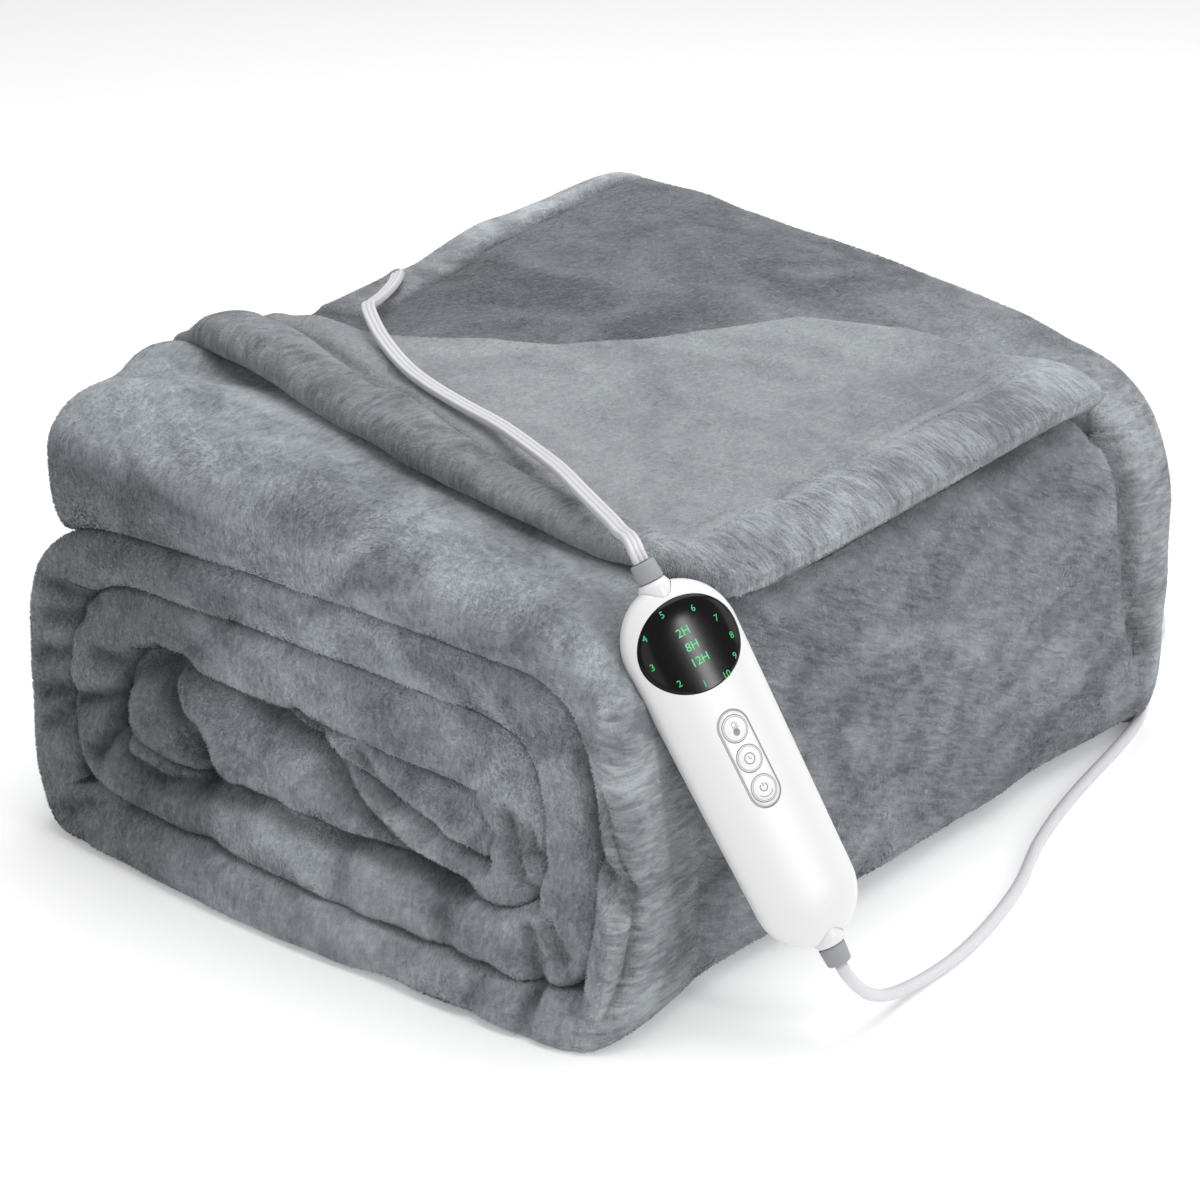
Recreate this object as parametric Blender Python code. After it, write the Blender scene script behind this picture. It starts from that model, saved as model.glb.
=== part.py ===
"""Electric heated blanket: a folded plush blanket wound into a flattened roll,
with its top corner turned back, a white hand control leaning on one side,
and the flat cord and round mains lead that go to and from the control.

Units are metres and +Z is up. The origin is on the surface under the roll,
+X is the long side that the control leans on, and -Y is the end that shows
the turns.
"""
import math

import bmesh
import bpy
from mathutils import Matrix, Vector

MM = 0.001

# ---- the wound strip: driving dimensions, in millimetres -------------------
FAR_END = 217.0           # y of the strip's far end
LAYER_COLUMNS = (
    "name",               # turns from the middle outwards
    "x_right", "x_left",  # where the straight run starts and ends
    "z_right", "z_mid", "z_left",
    "thick_right", "thick_mid", "thick_left",
    "reach",              # how far the bend after the run stands out
    "square",             # 2 is an elliptical bend, more is squarer
    "near",               # y of the near end
)
LAYERS = (
    ("core upper", 92, -87, 75, 83, 88, 17, 20, 22, 14, 2.0, -205),
    ("core lower", 96, -87, 52, 60, 61, 20, 20, 20, 28, 2.1, -207),
    ("first over", 96, -90, 106, 110, 115, 34, 29, 26, 41, 2.2, -211),
    ("first under", 108, -90, 28, 33, 37, 23, 28, 25, 43, 2.3, -209),
    ("second over", 108, -98, 138, 140.5, 142.5, 24, 25, 24, 53, 2.3, -213),
    ("under", 130, -112, 6.5, 8, 12, 13, 16, 24, 48, 2.4, -209),
    ("cover", 120, -148, 164, 177.5, 182, 22, 42, 54, 0, 2.0, -216),
)
RUN_STEP = 20.0           # spacing of the sections along a run
BEND_STEPS = 12           # sections round a bend
INNER_END_ROUND = 8.0     # the free end at the middle of the roll
COVER_END_ROUND = 30.0    # the puffed left end of the cover
END_SQUARE = 2.5          # shape of those rounded ends: 2 is a half circle
SIDE_ROUND = 14.0         # extra softness of the outer wrap's end edges
WALL_STATIONS = 3         # points along y on each face of the strip
RIM_ANGLES = (-90, -45, 0, 45, 90)

# The far end is wrapped looser: a little wider, and it stands higher.
FAR_WIDEN = 0.055
FAR_RAISE = 0.095

# ---- the corner that is turned back over the cover, in millimetres --------
FLAP_COLUMNS = ("x", "near_edge", "crease")
FLAP = (
    (-160, -134, -88),
    (-90, -144, -64),
    (-55, -151, -30),
    (-25, -155, 0),
    (-4, -157, 30),
    (12, -158, 72),
    (30, -160, 112),
    (68, -161, 143),
    (105, -158, 155),
    (135, -153, 158),
    (155, -140, 158),
    (176, -112, 158),
)
FLAP_THICK = 8.0
HEM_THICK = 13.0
HEM_WIDTH = 26.0
FLAP_GAP = 1.5
FLAP_STEP = 9.0           # spacing of the sections along it
FLAP_LOWEST = 152.0       # how far it hangs over the shoulder
CREASE_SINK = 3.0         # the crease is one piece with the cloth below

FABRIC = ("plush", (0.33, 0.35, 0.38), 0.95, 0.0)
WHITE = ("white_plastic", (0.86, 0.87, 0.88), 0.28, 0.0)
GREY = ("grey_rubber", (0.42, 0.43, 0.45), 0.6, 0.0)
BLACK = ("black_gloss", (0.01, 0.01, 0.012), 0.08, 0.0)
METAL = ("plated_metal", (0.75, 0.72, 0.66), 0.25, 1.0)
CORD_WHITE = ("white_cord", (0.84, 0.85, 0.87), 0.4, 0.0)


# ---- small tools ----------------------------------------------------------
def material(spec):
    name, colour, roughness, metallic = spec
    made = bpy.data.materials.get(name)
    if made is None:
        made = bpy.data.materials.new(name)
        made.use_nodes = True
        shader = made.node_tree.nodes["Principled BSDF"]
        shader.inputs["Base Color"].default_value = (*colour, 1.0)
        shader.inputs["Roughness"].default_value = roughness
        shader.inputs["Metallic"].default_value = metallic
    return made


def mesh_object(name, bm, spec, parent=None):
    """Turn a bmesh in millimetres into a smooth-shaded object in metres."""
    bmesh.ops.scale(bm, vec=(MM, MM, MM), verts=bm.verts)
    bmesh.ops.recalc_face_normals(bm, faces=bm.faces)
    mesh = bpy.data.meshes.new(name)
    bm.to_mesh(mesh)
    bm.free()
    mesh.shade_smooth()
    mesh.set_sharp_from_angle(angle=math.radians(40))
    made = bpy.data.objects.new(name, mesh)
    made.data.materials.append(material(spec))
    made.parent = parent
    bpy.context.scene.collection.objects.link(made)
    return made


def loft(bm, rings):
    """Skin equal rings of points, with a flat face on the first and the last."""
    loops = [[bm.verts.new(p) for p in ring] for ring in rings]
    count = len(loops[0])
    for low, high in zip(loops, loops[1:]):
        for k in range(count):
            nxt = (k + 1) % count
            bm.faces.new((low[k], low[nxt], high[nxt], high[k]))
    bm.faces.new(list(reversed(loops[0])))
    bm.faces.new(loops[-1])
    return bm


def boolean(target, cutter, operation):
    cutter.hide_render = True
    cutter.display_type = "WIRE"
    step = target.modifiers.new(operation.lower(), "BOOLEAN")
    step.operation = operation
    step.object = cutter


def three_point(right, mid, left, f):
    """The smooth value at f, from three values at f = 0, 0.5 and 1."""
    return right * (1 - f) * (1 - 2 * f) + mid * 4 * f * (1 - f) + left * f * (2 * f - 1)


def table_value(rows, x, column):
    """Read one column of a table at x, straight between its rows."""
    if x <= rows[0][0]:
        return rows[0][column]
    for low, high in zip(rows, rows[1:]):
        if x <= high[0]:
            f = (x - low[0]) / (high[0] - low[0])
            return low[column] + f * (high[column] - low[column])
    return rows[-1][column]


def evenly_spaced(points, step):
    """Points at one spacing along a line of straight pieces."""
    total = sum((b - a).length for a, b in zip(points, points[1:]))
    count = max(2, round(total / step))
    spaced = [points[0].copy()]
    index, walked = 0, 0.0
    for k in range(1, count):
        target = total * k / count
        while walked + (points[index + 1] - points[index]).length < target:
            walked += (points[index + 1] - points[index]).length
            index += 1
        piece = points[index + 1] - points[index]
        spaced.append(points[index] + piece * ((target - walked) / piece.length))
    spaced.append(points[-1].copy())
    return spaced


def smooth_route(route, samples=24):
    """A smooth curve through hand-placed route points."""
    line = []
    ends = [2 * route[0] - route[1]] + list(route) + [2 * route[-1] - route[-2]]
    for a, b, c, d in zip(ends, ends[1:], ends[2:], ends[3:]):
        for k in range(samples):
            t = k / samples
            line.append(0.5 * (2 * b + (c - a) * t + (2 * a - 5 * b + 4 * c - d) * t * t
                               + (3 * b - a - 3 * c + d) * t ** 3))
    line.append(route[-1].copy())
    return line


# ---- the blanket ----------------------------------------------------------
def run_stations(layer, goes_left):
    row = dict(zip(LAYER_COLUMNS, layer))
    length = row["x_right"] - row["x_left"]
    steps = max(4, round(length / RUN_STEP))
    stations = []
    for k in range(steps + 1):
        f = k / steps if goes_left else 1 - k / steps
        thick = three_point(row["thick_right"], row["thick_mid"], row["thick_left"], f)
        if row["name"] == "under":
            z = thick / 2
        else:
            z = three_point(row["z_right"], row["z_mid"], row["z_left"], f)
        x = row["x_right"] - f * length
        stations.append({"x": x, "z": z, "thick": thick, "near": row["near"], "soft": 0.0})
    return stations


def bend_stations(start, end, reach, square, side):
    stations = []
    middle = (start["z"] + end["z"]) / 2
    for k in range(1, BEND_STEPS):
        f = k / BEND_STEPS
        swing = math.cos(math.pi * f)
        out = math.sin(math.pi * f) ** (2 / square)
        height = math.copysign(abs(swing) ** (2 / square), swing)
        station = {key: start[key] + f * (end[key] - start[key]) for key in start}
        station["x"] += side * reach * out
        station["z"] = middle + (start["z"] - middle) * height
        stations.append(station)
    return stations


def strip_stations():
    """Sections along the strip, from its free inner end to the cover's left end."""
    runs = []
    for index, layer in enumerate(LAYERS):
        runs.append(run_stations(layer, goes_left=index % 2 == 0))
    for station in runs[-1]:
        station["soft"] = SIDE_ROUND
    path = list(runs[0])
    for index in range(1, len(runs)):
        before = dict(zip(LAYER_COLUMNS, LAYERS[index - 1]))
        side = -1 if index % 2 == 1 else 1
        path += bend_stations(path[-1], runs[index][0], before["reach"], before["square"], side)
        path += runs[index]
    return path


def add_end_stations(path, end_round, at_start):
    """Close sections near a free end, so that its edge can be rounded."""
    if at_start:
        path.reverse()
    last = path[-1]
    before = path[-2]
    direction = Vector((last["x"] - before["x"], last["z"] - before["z"])).normalized()
    while math.hypot(path[-2]["x"] - last["x"], path[-2]["z"] - last["z"]) < end_round:
        path.pop(-2)
    path.pop()
    for share in (1.0, 0.75, 0.5, 0.3, 0.14, 0.04):
        station = dict(last)
        station["x"] -= direction.x * end_round * share
        station["z"] -= direction.y * end_round * share
        full = (1 - (1 - share) ** END_SQUARE) ** (1 / END_SQUARE)
        station["thick"] = last["thick"] * full
        station["near"] = last["near"] + end_round * 0.7 * (1 - full)
        path.append(station)
    if at_start:
        path.reverse()


def add_directions(path):
    """Give each section its outward direction and the radius it bends at."""
    count = len(path)
    for k, station in enumerate(path):
        a = path[max(k - 1, 0)]
        b = path[min(k + 1, count - 1)]
        along = Vector((b["x"] - a["x"], b["z"] - a["z"]))
        station["out"] = Vector((along.y, -along.x)).normalized()
        station["radius"] = 1e6
        if 0 < k < count - 1:
            one = Vector((station["x"] - a["x"], station["z"] - a["z"]))
            two = Vector((b["x"] - station["x"], b["z"] - station["z"]))
            turn = math.atan2(one.x * two.y - one.y * two.x, one.dot(two))
            if turn > 0.01:
                station["radius"] = (one.length + two.length) / 2 / turn


def section_ring(station, outer, inner, soft):
    """A closed ring round one section of the strip, rounded at both ends."""
    centre_x, centre_z, out = station["x"], station["z"], station["out"]
    points = []

    def add(y, offset):
        points.append((centre_x + out.x * offset, y, centre_z + out.y * offset))

    near, far = station["near"], station["far"]
    for angle in RIM_ANGLES:
        lift = math.sin(math.radians(angle))
        depth = outer + soft if lift > 0 else inner
        back = depth * (1 - math.cos(math.radians(angle)))
        add(near + back, (outer if lift > 0 else inner) * lift)
    outer_near, outer_far = near + outer + soft, far - outer - soft
    for k in range(1, WALL_STATIONS + 1):
        add(outer_near + (outer_far - outer_near) * k / (WALL_STATIONS + 1), outer)
    for angle in reversed(RIM_ANGLES):
        lift = math.sin(math.radians(angle))
        depth = outer + soft if lift > 0 else inner
        back = depth * (1 - math.cos(math.radians(angle)))
        add(far - back, (outer if lift > 0 else inner) * lift)
    inner_near, inner_far = near + inner, far - inner
    for k in range(WALL_STATIONS, 0, -1):
        add(inner_near + (inner_far - inner_near) * k / (WALL_STATIONS + 1), -inner)
    return points


def settle(bm):
    """Widen and raise the far end, and rest the underside flat on the surface."""
    near = dict(zip(LAYER_COLUMNS, LAYERS[-1]))["near"]
    for vert in bm.verts:
        x, y, z = vert.co
        back = max(0.0, min(1.0, (y - near) / (FAR_END - near)))
        x *= 1 + FAR_WIDEN * back
        z *= 1 + FAR_RAISE * back
        vert.co = (x, y, max(z, 0.0))


def roll():
    path = strip_stations()
    add_end_stations(path, INNER_END_ROUND, at_start=True)
    add_end_stations(path, COVER_END_ROUND, at_start=False)
    add_directions(path)
    rings = []
    for station in path:
        station["far"] = FAR_END
        half = station["thick"] / 2
        inner = min(half, 0.8 * station["radius"])
        rings.append(section_ring(station, half, inner, station["soft"]))
    bm = loft(bmesh.new(), rings)
    settle(bm)
    return mesh_object("blanket", bm, FABRIC), path


def flap_ring(point, out, thick, edge, crease, sink):
    """A ring round the turned-back corner: hem at the near edge, crease at the far one."""
    points = []
    half, hem = thick / 2, max(thick, HEM_THICK) / 2
    raised = hem - (FLAP_THICK / 2)
    low = -half if thick > FLAP_THICK else -FLAP_THICK / 2

    def add(y, offset):
        points.append((point.x + out.x * offset, y, point.y + out.y * offset))

    top_hem = FLAP_THICK / 2 + 2 * raised
    top_flat = thick - FLAP_THICK / 2
    centre = (top_hem + low) / 2
    reach = (top_hem - low) / 2
    for angle in RIM_ANGLES:
        lift = math.sin(math.radians(angle))
        add(edge + reach * (1 - math.cos(math.radians(angle))), centre + reach * lift)
    add(edge + HEM_WIDTH - 4, top_hem)
    add(edge + HEM_WIDTH + 4, top_flat)
    add((edge + HEM_WIDTH + crease) / 2, top_flat)
    bottom = low - sink
    centre = (top_flat + bottom) / 2
    reach = (top_flat - bottom) / 2
    for angle in reversed(RIM_ANGLES):
        lift = math.sin(math.radians(angle))
        add(crease - reach * (1 - math.cos(math.radians(angle))), centre + reach * lift)
    add(crease - reach - 8, low)
    add((edge + crease) / 2, low)
    add(edge + reach + 6, low)
    return points


def turned_back_corner(path):
    """The thin corner that lies on the cover, hung a little over the shoulder."""
    surface = []
    for station in path:
        half = station["thick"] / 2
        x = station["x"] + station["out"].x * half
        z = station["z"] + station["out"].y * half
        if station["soft"] > 0 and z > FLAP_LOWEST:
            surface.append(Vector((x, z)))
    surface = evenly_spaced(surface, FLAP_STEP)
    rings = []
    count = len(surface)
    for k, point in enumerate(surface):
        along = surface[min(k + 1, count - 1)] - surface[max(k - 1, 0)]
        out = Vector((along.y, -along.x)).normalized()
        from_right = (point - surface[0]).length
        thick = HEM_THICK if from_right < HEM_WIDTH else FLAP_THICK
        lift = FLAP_GAP + FLAP_THICK / 2
        if k >= count - 3:
            lift = -FLAP_THICK / 2 - 1
        middle = point + out * lift
        edge = table_value(FLAP, middle.x, FLAP_COLUMNS.index("near_edge"))
        crease = table_value(FLAP, middle.x, FLAP_COLUMNS.index("crease"))
        rings.append(flap_ring(middle, out, thick, edge, crease, FLAP_GAP + CREASE_SINK))
    bm = loft(bmesh.new(), rings)
    settle(bm)
    return mesh_object("turned_back_corner", bm, FABRIC)


# ---- the hand control: sizes along, across and out of its own face, in mm --
HANDSET_LENGTH = 160.0
HANDSET_TOP_RADIUS = 25.75      # half its width at the display end
HANDSET_LOW_RADIUS = 23.0
SHELL_COLUMNS = ("inset", "height")     # the crowned face, from its edge in
SHELL = ((0, 0), (0.3, 2.6), (1.2, 5.0), (3.2, 7.0), (7, 8.5), (12, 9.2), (18, 9.5))
ARC_STEPS = 14
DISPLAY_ALONG, DISPLAY_ACROSS = 38.5, 45.5
DISPLAY_FROM_TOP = 27.0
DISPLAY_DEPTH = 4.5             # height of the lens's flat back
PANEL_FROM_TOP = 78.0
PANEL_LENGTH, PANEL_WIDTH = 42.0, 14.0
PANEL_BACK, PANEL_FRONT = 6.0, 9.7
BUTTON_COUNT = 3
BUTTON_PITCH = 13.2
BUTTON_WIDTH = 11.0
BUTTON_FRONT = 10.1
BUTTON_TRAVEL = 0.6
FIT = 0.3                       # gap between the hand control's pieces
NECK_COLUMNS = ("along", "radius")      # along the cord, from inside the shells
NECK = ((-6, 6.8), (-2, 6.8), (0.2, 6.3), (1.6, 5.4))
RELIEF = ((1.6 + FIT, 5.2), (2.4, 5.7), (9, 5.2), (10, 4.6))
TURNED_SIDES = 28

# Where the hand control leans, in millimetres.
HANDSET_TOP = Vector((164.7, -178.5, 187.4))
HANDSET_LOW = Vector((244.7, -164.9, 49.5))
HANDSET_FACES = Vector((0.80, -0.41, 0.43))


def handset_pose():
    """An empty at the hand control's middle: +Y to its top end, +Z out of its face."""
    up = (HANDSET_TOP - HANDSET_LOW).normalized()
    face = (HANDSET_FACES - up * HANDSET_FACES.dot(up)).normalized()
    across = up.cross(face)
    turn = Matrix((across, up, face)).transposed().to_4x4()
    middle = (HANDSET_TOP + HANDSET_LOW) / 2 * MM
    empty = bpy.data.objects.new("hand_control_pose", None)
    empty.matrix_world = Matrix.Translation(middle) @ turn
    bpy.context.scene.collection.objects.link(empty)
    return empty


def handset_outline(inset, z):
    """Two round ends joined by straight sides, drawn in by an inset."""
    points = []
    ends = ((HANDSET_TOP_RADIUS, 1, 0), (HANDSET_LOW_RADIUS, -1, math.pi))
    for radius, side, start in ends:
        centre = side * (HANDSET_LENGTH / 2 - radius)
        for k in range(ARC_STEPS + 1):
            angle = start + math.pi * k / ARC_STEPS
            reach = radius - inset
            points.append((reach * math.cos(angle), centre + reach * math.sin(angle), z))
    return points


def ellipse_ring(along, across, centre, z, steps=48):
    ring = []
    for k in range(steps):
        angle = math.tau * k / steps
        ring.append((across / 2 * math.cos(angle), centre + along / 2 * math.sin(angle), z))
    return ring


def pill_ring(length, width, centre, z, steps=12):
    ring = []
    for side, start in ((1, 0), (-1, math.pi)):
        middle = centre + side * (length - width) / 2
        for k in range(steps + 1):
            angle = start + math.pi * k / steps
            ring.append((width / 2 * math.cos(angle), middle + width / 2 * math.sin(angle), z))
    return ring


def prism(name, ring_at, low, high, spec, parent):
    return mesh_object(name, loft(bmesh.new(), [ring_at(low), ring_at(high)]), spec, parent)


def shell_half(name, side, spec, parent):
    rings = []
    for inset, height in SHELL:
        rings.append(handset_outline(inset, side * (height + FIT / 2)))
    return mesh_object(name, loft(bmesh.new(), rings), spec, parent)


def turned_along_y(name, profile, end, spec, parent):
    """A piece turned about the cord's line, at one end of the hand control."""
    rings = []
    for along, radius in profile:
        y = end * (HANDSET_LENGTH / 2 + along)
        ring = []
        for k in range(TURNED_SIDES):
            angle = math.tau * k / TURNED_SIDES
            ring.append((radius * math.cos(angle), y, radius * math.sin(angle)))
        rings.append(ring)
    return mesh_object(name, loft(bmesh.new(), rings), spec, parent)


def handset(pose):
    front = shell_half("handset_front", 1, WHITE, pose)
    back = shell_half("handset_back", -1, WHITE, pose)
    half = HANDSET_LENGTH / 2

    # the display lens follows the crown of the face, in a recess of its own
    centre = half - DISPLAY_FROM_TOP
    lens = shell_half("display_lens", 1, BLACK, pose)
    lens_edge = prism(
        "lens_edge", lambda z: ellipse_ring(DISPLAY_ALONG, DISPLAY_ACROSS, centre, z),
        DISPLAY_DEPTH, 20, BLACK, pose)
    boolean(lens, lens_edge, "INTERSECT")
    recess = prism(
        "lens_recess",
        lambda z: ellipse_ring(DISPLAY_ALONG + 2 * FIT, DISPLAY_ACROSS + 2 * FIT, centre, z),
        DISPLAY_DEPTH - FIT, 21, WHITE, pose)
    boolean(front, recess, "DIFFERENCE")

    # the keypad plate and its three round push buttons
    centre = half - PANEL_FROM_TOP
    pocket = prism(
        "panel_recess",
        lambda z: pill_ring(PANEL_LENGTH + 2 * FIT, PANEL_WIDTH + 2 * FIT, centre, z),
        PANEL_BACK - FIT, 22, WHITE, pose)
    boolean(front, pocket, "DIFFERENCE")
    panel = prism(
        "button_panel", lambda z: pill_ring(PANEL_LENGTH, PANEL_WIDTH, centre, z),
        PANEL_BACK, PANEL_FRONT, WHITE, pose)
    holes = bmesh.new()
    for index in range(BUTTON_COUNT):
        middle = centre + BUTTON_PITCH * (1 - index)
        hole = BUTTON_WIDTH + 2 * FIT
        loft(holes, [ellipse_ring(hole, hole, middle, z) for z in (0, 23)])
        low = PANEL_BACK + BUTTON_TRAVEL + FIT
        prism(
            "button_%d" % (index + 1),
            lambda z: ellipse_ring(BUTTON_WIDTH, BUTTON_WIDTH, middle, z),
            low, BUTTON_FRONT, WHITE, pose)
    boolean(panel, mesh_object("button_holes", holes, WHITE, pose), "DIFFERENCE")

    # a white neck is held between the shells at each end, with a grey relief on it
    for end, place in ((1, "top"), (-1, "low")):
        turned_along_y("neck_" + place, NECK, end, WHITE, pose)
        turned_along_y("relief_" + place, RELIEF, end, GREY, pose)
        socket = [(along - FIT, radius + FIT) for along, radius in NECK[:3]]
        socket.append((NECK[-1][0] + FIT, NECK[2][1] + FIT))
        cutter = turned_along_y("neck_socket_" + place, socket, end, WHITE, pose)
        boolean(front, cutter, "DIFFERENCE")
        boolean(back, cutter, "DIFFERENCE")


# ---- the cords and the plug, in millimetres --------------------------------
FLAT_CORD = 6.4                 # the flat cord's width
LEAD = 5.5                      # the mains lead's diameter
ROUTE_STEP = 2.0                # route points are this many diameters apart
END_STEP = 3.0                  # and each end runs straight this far

# From the hem at the back left, over the turned-back corner, into the control.
FLAT_CORD_ROUTE = (
    (-130, -1, 222.5),
    (-122, -13, 222.0),
    (-113, -30, 222.0),
    (-101, -50, 224.8),
    (-84, -72, 230.0),
    (-60, -90, 226.0),
    (-36, -102, 220.5),
    (-15, -109, 217.0),
    (10, -114, 213.5),
    (35, -119, 211.0),
    (61, -128, 208.5),
    (84, -138, 207.0),
    (104, -149, 205.5),
    (120, -157, 203.5),
    (132, -163.5, 202.5),
    (141, -169, 201.8),
    (148.5, -174, 202.8),
    (154, -177.6, 202.0),
    (157.4, -179.7, 199.9),
    (159.5, -179.4, 196.3),
)
# From the control's low end down to the surface and along the long side.
LEAD_ROUTE = (
    (249.9, -164, 40.6),
    (251.9, -163.5, 37.2),
    (252.3, -157.3, 29.8),
    (251.5, -148.5, 21.8),
    (249.5, -137.5, 14.6),
    (247.8, -124.5, 8.8),
    (246.8, -109, 5.0),
    (246.3, -92, 3.0),
    (246.2, -75, 2.8),
    (244.5, -56, 2.8),
    (240.5, -33, 2.8),
    (234.7, -8, 2.8),
    (228, 14, 2.8),
    (217, 42, 2.8),
    (207, 76, 2.8),
    (199, 112, 2.8),
    (193, 145, 2.8),
    (187, 176, 2.8),
    (180, 202, 2.8),
    (170, 224, 2.8),
    (156, 242, 2.8),
    (143, 254.5, 2.8),
    (136.2, 269.7, 2.8),
)
COIL_CENTRE = (100, 290)
COIL_TURN_RADIUS = 31.0         # at the middle of its turns
COIL_TURNS_ACROSS = 3
COIL_TURNS_HIGH = 2
# From the coil to the plug that lies beside it.
TAIL_ROUTE = (
    (63.8, 269.7, 2.8),
    (62, 260.5, 2.9),
    (57.5, 252.5, 3.8),
    (49.5, 247.3, 5.6),
    (40, 246, 7.4),
    (32, 246, 8.0),
)
PLUG_COLUMNS = ("back", "half_width", "half_height")     # back from the relief
PLUG = ((0, 7.0, 6.0), (2, 9.0, 7.2), (10, 11.5, 7.9), (26, 12.0, 8.0), (31, 12.0, 8.0),
        (33, 11.0, 7.2))
PLUG_RELIEF = ((0, 4.2), (4, 4.6), (14, 4.9), (20, 5.6))
PIN_LENGTH, PIN_WIDTH, PIN_THICK, PIN_SPACING = 16.0, 6.3, 1.6, 12.7
BOX_ROUND_STEPS = 6


def cord_tube(name, route, diameter):
    """A cord that lies free, as a tube with closed ends."""
    line = smooth_route([Vector(p) for p in route])
    points = evenly_spaced(line, ROUTE_STEP * diameter)
    points.insert(1, points[0] + (line[1] - line[0]).normalized() * END_STEP)
    points.insert(-1, points[-1] + (line[-2] - line[-1]).normalized() * END_STEP)
    curve = bpy.data.curves.new(name, "CURVE")
    curve.dimensions = "3D"
    curve.bevel_depth = diameter / 2 * MM
    curve.bevel_resolution = 2
    curve.resolution_u = 1
    curve.render_resolution_u = 0
    curve.use_fill_caps = True
    spline = curve.splines.new("POLY")
    spline.points.add(len(points) - 1)
    for target, point in zip(spline.points, points):
        target.co = (*(point * MM), 1.0)
    made = bpy.data.objects.new(name, curve)
    curve.materials.append(material(CORD_WHITE))
    bpy.context.scene.collection.objects.link(made)
    return made


def coil():
    """The outer shape of the wound-up part of the lead."""
    half_width = COIL_TURNS_ACROSS * LEAD / 2
    height = COIL_TURNS_HIGH * LEAD
    corner = LEAD / 2
    section = []
    for x, z, start in ((half_width, height, 0), (-half_width, height, 90),
                        (-half_width, 0, 180), (half_width, 0, 270)):
        for k in range(4):
            angle = math.radians(start + 30 * k)
            centre_x = x - math.copysign(corner, x)
            centre_z = z - corner if z else corner
            section.append((centre_x + corner * math.cos(angle),
                            centre_z + corner * math.sin(angle)))
    bm = bmesh.new()
    sides = 48
    loops = []
    for k in range(sides):
        angle = math.tau * k / sides
        loop = []
        for x, z in section:
            reach = COIL_TURN_RADIUS + x
            loop.append(bm.verts.new((COIL_CENTRE[0] + reach * math.cos(angle),
                                      COIL_CENTRE[1] + reach * math.sin(angle), z)))
        loops.append(loop)
    for k in range(sides):
        low, high = loops[k], loops[(k + 1) % sides]
        for j in range(len(section)):
            nxt = (j + 1) % len(section)
            bm.faces.new((low[j], low[nxt], high[nxt], high[j]))
    return mesh_object("mains_coil", bm, CORD_WHITE)


def plug():
    """A plain two-pin plug, lying flat, with its relief towards the coil."""
    end = Vector(TAIL_ROUTE[-1])
    start = end.x - FIT
    rings = []
    for along, radius in PLUG_RELIEF:
        ring = []
        for k in range(TURNED_SIDES):
            angle = math.tau * k / TURNED_SIDES
            ring.append((start - along, end.y + radius * math.cos(angle),
                         end.z + radius * math.sin(angle)))
        rings.append(ring)
    mesh_object("plug_relief", loft(bmesh.new(), rings), WHITE)

    start -= PLUG_RELIEF[-1][0] + FIT
    rings = []
    for back, half_width, half_height in PLUG:
        ring = []
        for k in range(4 * BOX_ROUND_STEPS):
            angle = math.tau * (k + 0.5) / (4 * BOX_ROUND_STEPS)
            across = math.copysign(abs(math.cos(angle)) ** 0.5, math.cos(angle))
            up = math.copysign(abs(math.sin(angle)) ** 0.5, math.sin(angle))
            ring.append((start - back, end.y + half_width * across, end.z + half_height * up))
        rings.append(ring)
    mesh_object("plug_body", loft(bmesh.new(), rings), WHITE)

    start -= PLUG[-1][0] + FIT
    for side, name in ((-1, "plug_pin_1"), (1, "plug_pin_2")):
        y = end.y + side * PIN_SPACING / 2
        rings = []
        for back, thin in ((0, 0), (PIN_LENGTH - 2, 0), (PIN_LENGTH, 0.6)):
            half_w, half_t = PIN_WIDTH / 2 - thin, PIN_THICK / 2 - thin / 2
            ring = [(start - back, y + a * half_t, end.z + b * half_w)
                    for a, b in ((1, 1), (-1, 1), (-1, -1), (1, -1))]
            rings.append(ring)
        mesh_object(name, loft(bmesh.new(), rings), METAL)


def build():
    for old in list(bpy.data.objects):
        bpy.data.objects.remove(old)
    blanket, path = roll()
    corner = turned_back_corner(path)
    boolean(blanket, corner, "UNION")
    handset(handset_pose())
    cord_tube("flat_cord", FLAT_CORD_ROUTE, FLAT_CORD)
    cord_tube("mains_lead", LEAD_ROUTE, LEAD)
    coil()
    cord_tube("mains_tail", TAIL_ROUTE, LEAD)
    plug()


build()
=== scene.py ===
import math

import bpy
import numpy as np
from mathutils import Matrix, Vector, noise


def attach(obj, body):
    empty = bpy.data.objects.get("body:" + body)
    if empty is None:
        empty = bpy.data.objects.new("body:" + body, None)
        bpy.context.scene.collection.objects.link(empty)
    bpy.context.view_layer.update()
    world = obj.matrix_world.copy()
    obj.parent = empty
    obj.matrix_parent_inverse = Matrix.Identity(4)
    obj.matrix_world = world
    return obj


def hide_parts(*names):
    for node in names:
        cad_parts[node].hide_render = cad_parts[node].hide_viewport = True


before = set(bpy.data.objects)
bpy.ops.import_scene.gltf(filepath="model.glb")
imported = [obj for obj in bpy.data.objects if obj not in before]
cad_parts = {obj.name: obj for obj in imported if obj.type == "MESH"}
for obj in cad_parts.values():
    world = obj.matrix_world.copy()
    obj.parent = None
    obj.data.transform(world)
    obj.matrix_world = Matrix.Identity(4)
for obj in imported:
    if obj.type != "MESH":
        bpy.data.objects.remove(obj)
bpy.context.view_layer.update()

MM = 0.001

# ---- the view, the surface and the light ----------------------------------
# A long lens looks down a little on the near right corner. The blanket lies on
# a plain pale surface in soft, even light that comes mostly from above.
VIEW_AZIMUTH, VIEW_ELEVATION = math.radians(38.68), math.radians(21.83)
VIEW_DISTANCE = 1.516
VIEW_CENTRE = Vector((0.0064, -0.0143, 0.090))
LENS_MM, FILM_MM = 96.0, 36.0

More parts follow.
